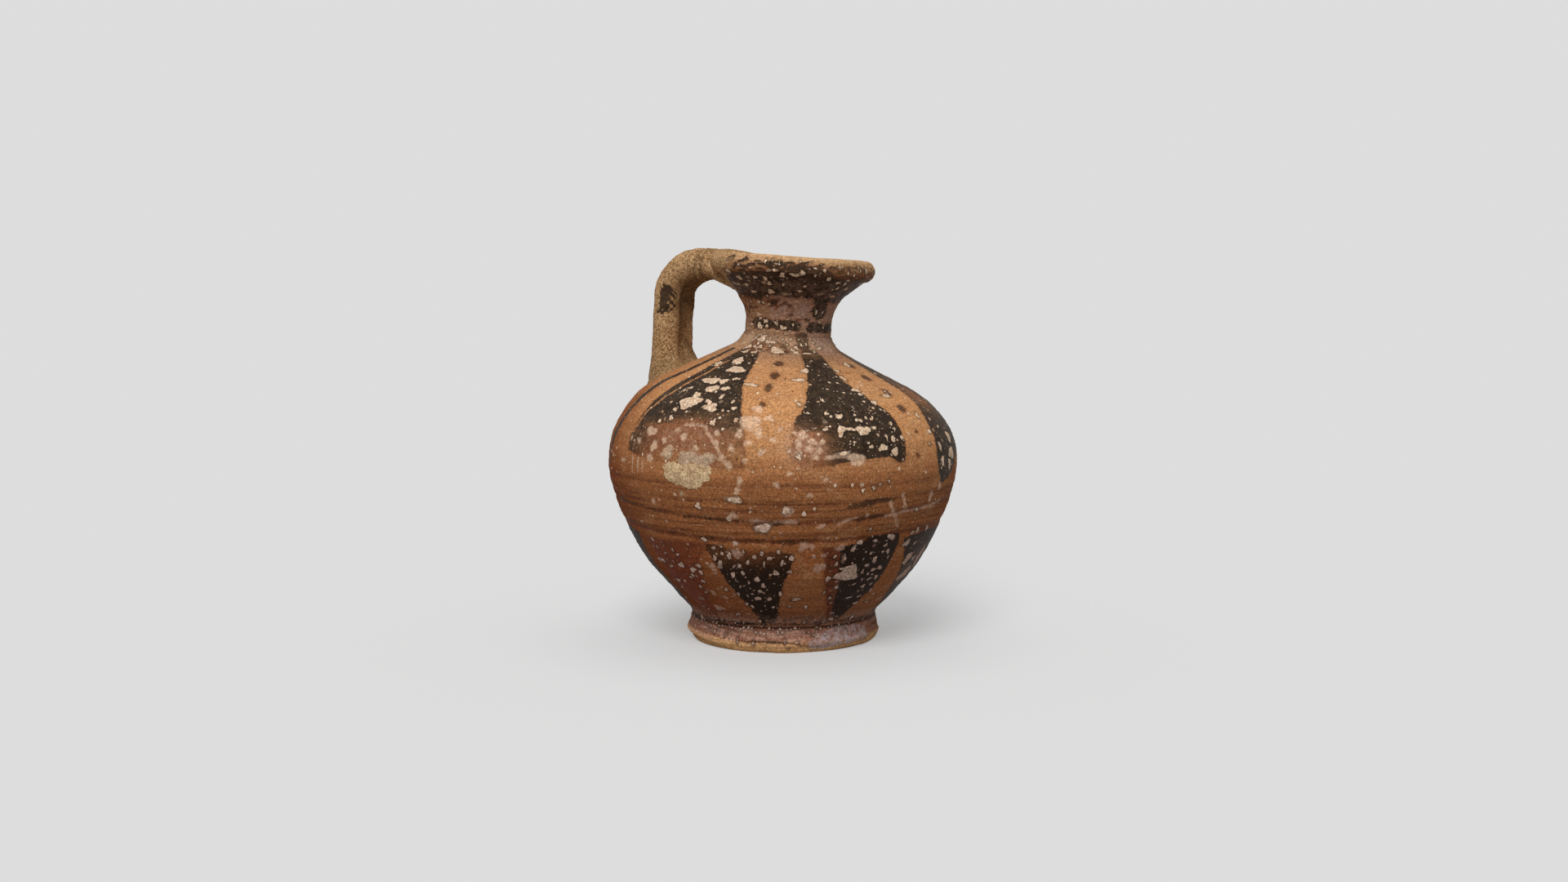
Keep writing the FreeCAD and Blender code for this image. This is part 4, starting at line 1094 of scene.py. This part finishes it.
coil = turned("jug_neck_coil", [
    (coil_outside, 0.35, True), *hidden((0.3, 0.8, 0.8), coil_edge, coil_root, neck_seat, shoulder_edge),
], neck_skin, neck_marks)
neck = turned("jug_neck", [
    (np.concatenate([[tenon_seat, (neck_radius, 90.0)], neck_flare]), 0.4, True),
    *hidden(
        (0.8, 0.5, 0.8, 0.6, 0.8),
        neck_edge, spigot_seat, mouth_seat, bore_end, (neck_bore, tenon_height), tenon_seat,
    ),
], neck_skin, neck_marks)
neck_clay = painted_clay("neck_clay", (
    (88, 184, 140, 104), (91, 190, 152, 120), (94, 184, 146, 114), (97.5, 172, 128, 96),
    (102, 170, 124, 92), (104.6, 140, 100, 70),
), srgb(172, 138, 122), 1.25)
finish_piece(coil, neck_clay, "slipped_clay", "neck_coil")
finish_piece(neck, neck_clay, "slipped_clay", "neck")


# Mouth: a shallow funnel with a thick half-round lip, thrown and set on the neck's spigot.
# Black slip covers its underside. The rim is bare and rubbed.
lip_low, lip_widest, rim_edge = (22.0, 109.8), (25.0, 113.44), (22.9, 116.3)
lip_inner, funnel_foot = (20.4, 115.7), (8.75, 107.0)
funnel_middle = ((lip_inner[0] + funnel_foot[0]) / 2 + 1.2, (lip_inner[1] + funnel_foot[1]) / 2 - 1.2)
lip_step, funnel_step = 0.35, 0.5
lip_face = bow(lip_low, lip_widest, rim_edge)
rim_top, funnel = bow(rim_edge, (21.7, 116.25), lip_inner), bow(lip_inner, funnel_middle, funnel_foot)
mouth_wall_paint = PaintedWall(np.concatenate([[neck_edge], lip_face]))
# The slip under the lip: its upper edge round the mouth, and ragged patches of it on the lip's face.
mouth_edge_turns = (
    -60, -40, -30, -20, -5, 5, 15, 20, 24, 35, 45, 50, 55, 62, 70, 80, 95, 112, 130, 150, 170, 190, 215,
    240, 270, 300,
)
mouth_edge_heights = (
    110.2, 110.8, 110.5, 110, 110.4, 110.9, 111.3, 112.6, 113.5, 113.3, 113.2, 112.5, 111, 110.5, 110.8,
    111.2, 110.9, 110.6, 111.5, 113, 111, 110.5, 112.8, 111, 110.5, 110.2,
)
lip_patches = (
    ((-28, 113.2), (-25, 114.9), (-20, 115), (-18.5, 113.9), (-22, 113.1)),
    ((-12, 113.8), (-9, 114.8), (-6, 113.9), (-8, 113)),
    ((5, 112.6), (7, 113.9), (12, 114.2), (17, 114.3), (20.5, 113.4), (14, 112.5)),
    ((22, 113), (22, 114.4), (26, 113.9), (27, 113)),
    ((50, 113.7), (57, 113.5), (58, 112.4), (52, 112.1)), ((62, 113.9), (69, 113.7), (67, 112.5)),
    ((74, 114.2), (82, 114), (86, 112.3), (78, 112.1)),
    ((120, 113.9), (128, 114.1), (131, 112.6), (123, 112.5)),
    ((176, 113.8), (184, 114.2), (188, 113), (180, 112.4)), ((236, 114), (246, 114.1), (244, 112.6)),
    ((-47, 113.8), (-41, 114.4), (-38, 113.2)),
)
mouth_flakes = (
    (-5, 109.5, 1.8, 0.6), (3.5, 109.3, 1.6, 0.7), (18, 110.2, 2.2, 0.6), (-18, 107.2, 2.5, 0.45),
    (18, 107.6, 1.4, 0.4), (33, 106.2, 2.4, 0.4), (27, 110.8, 3, 0.6), (32, 111.5, 1.8, 0.8),
    (52, 110.4, 1.4, 0.6), (-27, 110.7, 2.6, 0.5), (-22, 109, 2.6, 0.6), (-36, 107.2, 2.4, 0.4),
    (6, 107.8, 1.8, 0.5), (5, 105.5, 3, 0.6), (-15, 105.4, 3, 0.35), (37, 107.8, 1.4, 0.4),
    (64, 109.5, 2, 0.5), (72, 109.4, 1.8, 0.5), (68, 107.9, 2, 0.4), (80, 108, 2.4, 0.4),
    (-11, 110.4, 0.9, 0.5), (13, 111.7, 2.4, 0.4), (41, 111, 1.2, 0.4), (6, 114.4, 0.8, 0.5),
    (11, 114.7, 0.8, 0.5), (16, 113.8, 0.9, 0.6), (-25, 114.2, 1.2, 0.4), (47, 112.8, 1.2, 0.5),
    (85, 113.6, 1, 0.9), (60, 114.1, 0.8, 0.4), (66, 112.4, 0.8, 0.6), (72, 112, 0.8, 0.6),
    (78, 113.4, 0.8, 0.5), (38, 115, 0.8, 0.3), (30, 115.2, 0.8, 0.3), (-14, 112.7, 1.4, 0.4),
    (98, 109.6, 2, 0.6), (120, 110.4, 2, 0.6), (150, 108.5, 2.4, 0.5), (176, 110, 2, 0.6),
    (204, 108.6, 2.4, 0.5), (232, 110.2, 2, 0.6), (262, 108.4, 2.2, 0.5),
)
lip_rubs = ripple(51, 18, (6, 34), (1.1, 3.2))


def mouth_skin(angle, radius, height):
    raised = mouth_wall_paint.nearest(angle, height, spots=mouth_flakes) * (radius > 21.5)
    lumps = 0.10 * near(height, 113.4, 2.5) * (np.sin(7 * angle + 2) + np.sin(13 * angle + 1))
    inside = radius < 11.0 + (height - 106.0) * 2.0
    lift = thrown_skin(angle, height) * 0.85 + lumps + 0.10 * held(raised / 0.3)
    return lift + full_side(angle, height) * ~inside


def mouth_marks(angle, radius, height):
    made = new_marks(angle)
    turn, rubs = degrees_from(angle, 120) + 120, lip_rubs(angle, height)
    edge = np.interp(turn, mouth_edge_turns, mouth_edge_heights) + 0.7 + 0.15 * np.sin(23 * angle)
    smeared = 40 + 27 * held((height - 107.5) / 4) - np.abs(degrees_from(angle, -90)) + 3 * rubs
    rubbed = 0.9 * rubs - 0.26 + 0.34 * (facing(angle, 14, 34) + facing(angle, 165, 30))
    rubbed = rubbed - 2 * held(np.abs(height - 112.7) - 1.8, 0, 3)
    patches = mouth_wall_paint.nearest(angle, height - 0.7, lip_patches)
    under = held(edge - height, -mark_reach, mark_reach)
    funnel_edge = (110.5 - height + 1.2 * np.sin(2 * angle + 1)) * 0.6
    worn_right = held((degrees_from(angle, 50) + 10) / 20) * (height > 110.5)
    worn_right = worn_right * (np.abs(degrees_from(angle, 75)) < 40)

    # Each mark inside the funnel and outside it.
    inside = radius < np.interp(height, (106.0, 109.8, 116.3), (11.0, 19.0, 22.85))
    for label, within, outside in (
        ("slip", held(funnel_edge, -mark_reach, mark_reach),
         np.max([under, patches, rubbed], axis=0) - 3 * held(smeared / 6, 0, 1.5)),
        ("fired", 0.45, 0.06 + 0.25 * near(height, edge, 1.0) + 0.25 * facing(angle, -45, 22)),
        ("thin", 0.6, held(0.08 + 0.14 * near(height, 112.0, 1.2) + 0.35 * worn_right)),
        ("smear", -2.0, held(smeared / 6, -2, 2)),
        ("flake", -2.0, mouth_wall_paint.nearest(angle, height, spots=mouth_flakes)),
        ("lime", 0.35, 0.85 - 0.5 * held(smeared / 6) - 0.45 * facing(angle, 85, 26)),
        ("bloom", 0.0, 0.5 * held((110.5 - height) / 2)),
    ):
        made[label] = np.where(inside, within, outside)
    made["streak"] += 0.25
    return made


mouth = turned("jug_mouth", [
    ((neck_edge, lip_low), lip_step, True),
    (lip_face, lip_step, True),
    (rim_top, lip_step, True),
    (funnel, funnel_step, True),
    *hidden((0.5, 0.8, 0.5, 0.8), funnel_foot, bore_end, mouth_seat, spigot_seat, neck_edge),
], mouth_skin, mouth_marks)
mouth_clay = painted_clay("mouth_clay", (
    (104.6, 150, 106, 74), (109, 146, 102, 70), (112.8, 154, 110, 76), (114.4, 200, 158, 114),
    (116.3, 206, 166, 122),
), srgb(150, 120, 104), 1.45)
finish_piece(mouth, mouth_clay, "slipped_clay", "mouth")


# Handle: one strap pulled by hand from coarser tan clay, bent from the shoulder over to the lip.
# It is left bare, apart from a smear of black slip. Its inner face keeps the hollow of a finger.
strap_width, strap_thickness, round_share = 15.8, 9.1, 0.37
strap_crown, strap_dent, end_dent = 0.5, 1.5, 0.5
root_x, root_z, root_sunk, top_x, bend_z, bend_reach = -39.167, 79.0, 7, -37.667, 103.18, 10.8
root_widening, root_thickening, end_widening, end_thickening = 2.4, 1.2, 1.2, 0.3
strap_step, strap_round = 0.40, 132
# Creases across the strap at its upper bend: place along it, how far they slant, half width and depth.
# The painted shade in them reaches a little wider.
strap_creases = ((48.6, 0.25, 0.55, 1.0), (50.8, 0.2, 0.5, 1.0), (46.0, 0, 0.5, 0.6))
crease_shade = ((48.6, 0.25, 0.6, 1.0), (50.8, 0.2, 0.55, 1.0), (46.0, 0, 0.6, 0.5))
# Where the strap runs in under the lip: x, underside and top.
strap_run = (
    (-26.87, 109.28, 118.85), (-25, 109.8, 119.15), (-23.4, 110.2, 119.15), (-22, 109.9, 118.3),
    (-20.6, 109.4, 116.4), (-18.4, 108.5, 113.2), (-16.3, 107.6, 110.8), (-14.1, 106.7, 109.4),
    (-12.8, 106, 108.6),
)


def strap_path():
    """Stations along the strap, each its centre, direction, width and thickness."""
    stations = []
    for z in np.arange(root_z - root_sunk, bend_z, strap_step):
        share = held((z - root_z) / (bend_z - root_z))
        flare = held(1 - (z - root_z + root_sunk) / 16)
        x = root_x + (top_x - root_x) * share
        width, thickness = strap_width + root_widening * flare, strap_thickness + root_thickening * flare
        stations.append((x, z, math.pi / 2, width, thickness))
    for share in np.linspace(0, 1, int(bend_reach * math.pi / 2 / strap_step)):
        angle = math.pi / 2 * (1 - share)
        x = top_x + bend_reach - bend_reach * math.sin(angle)
        z = bend_z + bend_reach * math.cos(angle)
        width, thickness = strap_width + end_widening * share, strap_thickness + end_thickening * share
        stations.append((x, z, angle, width, thickness))
    run_x, run_under, run_over = np.array(strap_run).T
    for x in np.arange(top_x + bend_reach + strap_step, run_x[-1], strap_step):
        under, over = np.interp(x, run_x, run_under), np.interp(x, run_x, run_over) - strap_crown
        stations.append((x, (under + over) / 2, 0.0, strap_width + end_widening, over - under))
    return stations


def strap_section(width, thickness, dent):
    """The strap's outline as (across, outward) points, spread evenly round it."""
    half, skin = width / 2 - round_share * thickness, thickness / 2
    outer = bow((-half, skin), (0, skin + strap_crown), (half, skin))
    right = bow((half, skin), (width / 2, 0), (half, -skin))
    inner = bow((half, -skin), (0, dent - skin), (-half, -skin))
    left = bow((-half, -skin), (-width / 2, 0), (-half, skin))
    loop = np.concatenate([outer, right[1:], inner[1:], left[1:]])
    return points_at(loop, np.linspace(0, lengths_along(loop)[-1], strap_round, endpoint=False))


def creased(creases, along, outward):
    """How deep in one of these creases a place on the strap lies."""
    return sum(deep * near(along, at + slant * outward, half) for at, slant, half, deep in creases)


pulled_lumps = ripple(21, 14, (1, 4), (9, 30))
pulled_grain = ripple(22, 20, (3, 12), (1.2, 4))
round_strap = np.arange(strap_round) / strap_round * 2 * math.pi
strap_points, strap_places = [], []
length = 0.0
for x, z, angle, width, thickness in strap_path():
    dent = end_dent + (strap_dent - end_dent) * near(length, 38, 16)
    section = strap_section(width, thickness, dent)
    push = 0.16 * pulled_lumps(round_strap, length) + 0.05 * pulled_grain(round_strap, length)
    push = push - 0.34 * creased(strap_creases, length, section[:, 1])
    section = section * (1 + push[:, None] / np.hypot(*section.T)[:, None])
    sideways, out = section.T
    strap_points.append(np.stack([x - math.sin(angle) * out, sideways, z + math.cos(angle) * out], -1))
    strap_places.append(np.stack([sideways, out, np.full(strap_round, length)], -1))
    length += strap_step
strap_rows = len(strap_points)
strap_points = np.concatenate(strap_points)


def tube_faces(rows, count, joined=False):
    """Faces of a tube of rings, with a cap over each end, or with its last ring joined to its first."""
    grid = np.arange(rows * count).reshape(rows, count)
    beside = np.roll(grid, -1, axis=1)
    faces = np.stack([grid, np.roll(grid, -1, axis=0), np.roll(beside, -1, axis=0), beside], -1)
    if joined:
        return faces.reshape(-1, 4).tolist()
    return faces[:-1].reshape(-1, 4).tolist() + [grid[0].tolist(), grid[-1][::-1].tolist()]


def plain_piece(name, points, faces, slip=-2.0, shade=0.0):
    """A piece of bare clay, with its black slip and its painted shade given point by point."""
    none = np.zeros(len(points))
    # The painted shade is kept in the mark named fired.
    return seamed_mesh(name, points, faces, {"pot": points, "slip": none + slip, "fired": none + shade})


# A torn smear of black slip on one side, and painted shade in the finger hollow, at the root and in the
# creases.
across, outward, along = np.concatenate(strap_places).T
torn = ripple(24, 18, (8, 30), (1.4, 3.6))(np.tile(round_strap, strap_rows), along)
smear_block = np.minimum(2.5 - np.abs(outward + 1.6), 4.6 - np.abs(along - 31.4 + 0.15 * outward))
smear_tail = 0.8 - np.hypot((outward - 0.8) / 1.3, (along - 27.6) / 0.9)
worn_half = 0.42 * held((-1.7 - outward) / 0.9)
black_smear = np.minimum(np.maximum(smear_block, smear_tail), 0.55) - worn_half + 0.30 * torn
black_smear = black_smear - 4 * (across > -3.5)
# Painted shade in the finger hollow, deepest near its front edge and lighter across it.
hollow_shade = near(outward, -4.2, 2.0) * (near(across, -3.0, 3.6) + 0.55 * near(across, 2.5, 4.0))
hollow_shade = hollow_shade * near(along, 37, 15)
painted_shade = held(hollow_shade * 1.05 + near(along, 9, 4) * 0.28 + creased(crease_shade, along, outward) * 0.6)
handle = plain_piece("jug_handle", strap_points, tube_faces(strap_rows, strap_round), black_smear, painted_shade)

handle_clay, start = blank_material("handle_clay")
pot, slip, shade = start.mark("pot", 1), start.mark("slip"), start.mark("fired")
sand = pot.cloud(1.75, 5.0, 0.78)
grain = pot.stretched(0.45, 0.45, 1.3).cloud(1.2, 4.0, 0.7)
specks, _ = pot.frayed(2.0, 0.4).specks(0.7, 0.12, 0.20)
pits, _ = pot.moved(4, 9, 1).frayed(2.0, 0.4).specks(0.8, 0.2, 0.18)
cover = (slip + (pot.cloud(1.0, 3.0) - 0.5) * 1.2 + (sand - 0.5) * 0.8).step(-0.1, 0.25)
tan = pot.cloud(0.16, 5.0, 0.6).step(0.35, 0.68).mix(srgb(202, 159, 112), srgb(176, 135, 92))
clay_surface(start, tan.under(
    (grain.step(0.48, 0.70) * 0.5, srgb(218, 178, 132)),
    ((1 - grain).step(0.50, 0.70) * 0.45, srgb(122, 88, 56)),
    ((1 - sand).step(0.46, 0.60) * 0.84, srgb(86, 60, 36)),
    (sand.step(0.52, 0.66) * 0.76, srgb(234, 200, 156)),
    # painted shade from the mark named fired: the finger hollow, the creases and the root
    (shade * 0.80, srgb(84, 66, 42)),
    (specks * 0.7, srgb(226, 204, 172)),
    (pits * 0.7, srgb(84, 58, 36)),
    (cover * 0.92, srgb(48, 36, 27)),
), 0.88 - cover * 0.3, grain * 0.22 + sand * 0.25 + specks * 0.1 - pits * 0.15)
finish_piece(handle, handle_clay, "plain_clay", "handle")


# Pads: a collar of soft clay smeared round the handle's root, and a lump pressed over the lip at its top.
# Both are of the handle's own clay, pressed on with the fingers while it was damp.
collar_count, collar_rows, collar_sink, collar_roughness = 160, 14, 1.6, 0.05


def centre_at(height):
    """How far the centre line has moved across at a height in its bend, and how upright it is there."""
    upright = np.cos(held((height - bend_start) / bend_radius, 0, lean))
    return bend_radius * (1 - upright), upright


def shoulder_point(x, y):
    """The point of the shoulder's outside above or below a place in plan, found by halving."""
    low, high = np.full_like(x, 55.0), np.full_like(x, 87.9)
    for _ in range(40):
        middle = (low + high) / 2
        centre, upright = centre_at(middle)
        outside = np.hypot((x - centre) / upright, y) > body_wall_paint.radius(middle)
        high, low = np.where(outside, middle, high), np.where(outside, low, middle)
    centre, upright = centre_at(low)
    return ring_points(np.arctan2((x - centre) / upright, -y), body_wall_paint.radius(low), low)


root_loop = strap_section(strap_width + 1.3, strap_thickness + 0.7, strap_dent * 0.3)
root_loop = np.concatenate([root_loop, root_loop[:1]])
places = np.linspace(0, strap_round, collar_count, endpoint=False)
loop_y, loop_out = (np.interp(places, np.arange(strap_round + 1), root_loop[:, k]) for k in (0, 1))
loop_x = root_x + 0.15 - loop_out
apart = np.hypot(loop_out, loop_y)
away_x, away_y = -loop_out / apart, loop_y / apart
bearing = np.arctan2(away_y, away_x)
collar_waves = ripple(31, 9, (1, 7), (5, 9))(bearing, 0)
inner_side = held(np.cos(bearing))
spread = 2.6 + 0.40 * collar_waves + 2.8 * inner_side
climb = 4.4 + 0.6 * collar_waves + 5.0 * inner_side
bulge = 0.8 + 1.5 * inner_side
corner_line = shoulder_point(loop_x, loop_y)
pad_foot = shoulder_point(loop_x + away_x * spread, loop_y + away_y * spread)
pad_top = np.stack([loop_x - away_x * 0.15, loop_y - away_y * 0.15, corner_line[:, 2] + climb], -1)
elbow = corner_line + np.stack([away_x * bulge, away_y * bulge, bulge], -1)
collar_rings = [
    pad_top * (1 - share) ** 2 + elbow * 2 * share * (1 - share) + pad_foot * share ** 2
    for share in np.linspace(0, 1, collar_rows)
]
sunk = np.array([0, 0, -collar_sink])
inward = np.stack([-away_x * collar_sink, -away_y * collar_sink, np.zeros_like(away_x)], -1)
collar_rings += [pad_foot + sunk, corner_line + sunk + inward, pad_top + inward]
collar_points = np.concatenate(collar_rings)
shake = collar_roughness * np.random.default_rng(33).standard_normal(len(collar_points))
collar_points += shake[:, None] * np.array([0.3, 0.3, 1.0])
collar_faces = [face[::-1] for face in tube_faces(len(collar_rings), collar_count, joined=True)]
# The collar is painted with shade all over, where the handle meets the shoulder.
root_pad = plain_piece("jug_handle_root_pad", collar_points, collar_faces, shade=0.45)
finish_piece(root_pad, handle_clay, "plain_clay", "handle_root_pad")

lump_inward, lump_outward, lump_spread = 5.4, 2.6, 15.0
lump_thickness, lump_sink, lump_edge_sink, lump_radius = 0.75, 1.1, 0.45, 22.7
lump_rows, lump_count = 24, 132
lip_over = np.concatenate([bow(lip_widest, (24.35, 115.3), rim_edge), rim_top[1:], funnel[1:]])[::-1]
lump_noise = ripple(41, 12, (1, 6), (6, 14))
round_lump = np.arange(lump_count) / lump_count * 2 * math.pi
lump_shares = [(share, True) for share in np.linspace(0.03, 1, lump_rows)]
lump_shares += [(share, False) for share in np.linspace(0.97, 0.05, lump_rows // 2)]
lump_rings = []
for share, on_top in lump_shares:
    swell = share * (1 + 0.05 * lump_noise(round_lump, 4))
    reach = np.where(np.cos(round_lump) > 0, lump_inward, lump_outward)
    radius = lump_radius - swell * reach * np.cos(round_lump)
    angle = -math.pi / 2 - swell * lump_spread * np.sin(round_lump) / lump_radius
    lift = -lump_sink
    if on_top:
        uneven = 1 + 0.08 * lump_noise(round_lump, 20 + share * 5)
        lift = lump_thickness * (1 - share ** 2) ** 0.8 * uneven
    surface = np.interp(np.minimum(radius, lip_widest[0] - 0.2), *lip_over.T)
    lump_rings.append(ring_points(angle, radius, surface + lift - lump_edge_sink * share ** 4 * on_top))
lump_faces = tube_faces(len(lump_rings), lump_count)
rim_pad = plain_piece("jug_handle_rim_pad", np.concatenate(lump_rings), lump_faces)
finish_piece(rim_pad, handle_clay, "plain_clay", "handle_rim_pad")


# Floor and backdrop: one pale sheet without an edge in sight, lit by a broad soft lamp in front and one
# above. The sheet shows the backdrop's grey to the camera, darker only where the jug shades it.
backdrop_grey, mirrored_grey, floor_reach, lifted_share = 0.723, 0.36, 60.0, 0.45
key_strength, top_strength, sky_strength = 2.0, 0.8, 0.25
key_turn, key_rise = math.radians(14), math.radians(46)
floor_light = (key_strength * math.sin(key_rise) + top_strength) / math.pi + sky_strength


def grey(value):
    return {"Color": (value, value, value, 1)}


sheet, paper = blank_material("backdrop_paper")
rays_seen = ("Is Camera Ray", "Is Glossy Ray", "Is Transmission Ray")
seen, mirrored, passed = paper.node("ShaderNodeLightPath", {}, {}, rays_seen)
pale = paper.node("ShaderNodeBsdfDiffuse", {}, grey(backdrop_grey / floor_light))
glow = paper.node("ShaderNodeEmission", {}, {**grey(backdrop_grey), "Strength": 1.0})
dull = paper.node("ShaderNodeBsdfDiffuse", {}, grey(mirrored_grey))
lifted = paper.node("ShaderNodeMixShader", {}, {0: lifted_share, 1: pale, 2: glow})
looked_at = seen.most(mirrored.most(passed))
shown = paper.node("ShaderNodeMixShader", {}, {0: looked_at, 1: dull, 2: lifted})
paper.node("ShaderNodeOutputMaterial", {}, {"Surface": shown}, None)
floor_mesh = bpy.data.meshes.new("floor")
floor_corners = [(x * floor_reach, y * floor_reach, 0) for x, y in ((-1, -1), (1, -1), (1, 1), (-1, 1))]
floor_mesh.from_pydata(floor_corners, [], [(0, 1, 2, 3)])
floor = bpy.data.objects.new("floor", floor_mesh)
bpy.context.scene.collection.objects.link(floor)
floor_mesh.materials.append(sheet)

world = bpy.data.worlds.new("studio")
world.use_nodes = True
world.node_tree.nodes.clear()
sky = Coat(world.node_tree)
seen, mirrored = sky.node("ShaderNodeLightPath", {}, {}, rays_seen[:2])
far_grey = sky.node("ShaderNodeBackground", {}, {**grey(backdrop_grey), "Strength": 1.0})
dim = sky.node("ShaderNodeBackground", {}, {**grey(1), "Strength": sky_strength})
surround = sky.node("ShaderNodeMixShader", {}, {0: seen.most(mirrored), 1: dim, 2: far_grey})
sky.node("ShaderNodeOutputWorld", {}, {"Surface": surround}, None)
bpy.context.scene.world = world

for name, way, strength, width in (
    ("key_lamp", way_to(key_turn, key_rise), key_strength, 30),
    ("top_lamp", Vector((0, 0, 1)), top_strength, 60),
):
    lamp_data = bpy.data.lights.new(name, "SUN")
    lamp_data.energy, lamp_data.angle = strength, math.radians(width)
    aimed(name, lamp_data, way, way)

bpy.context.scene.view_settings.view_transform = "Standard"
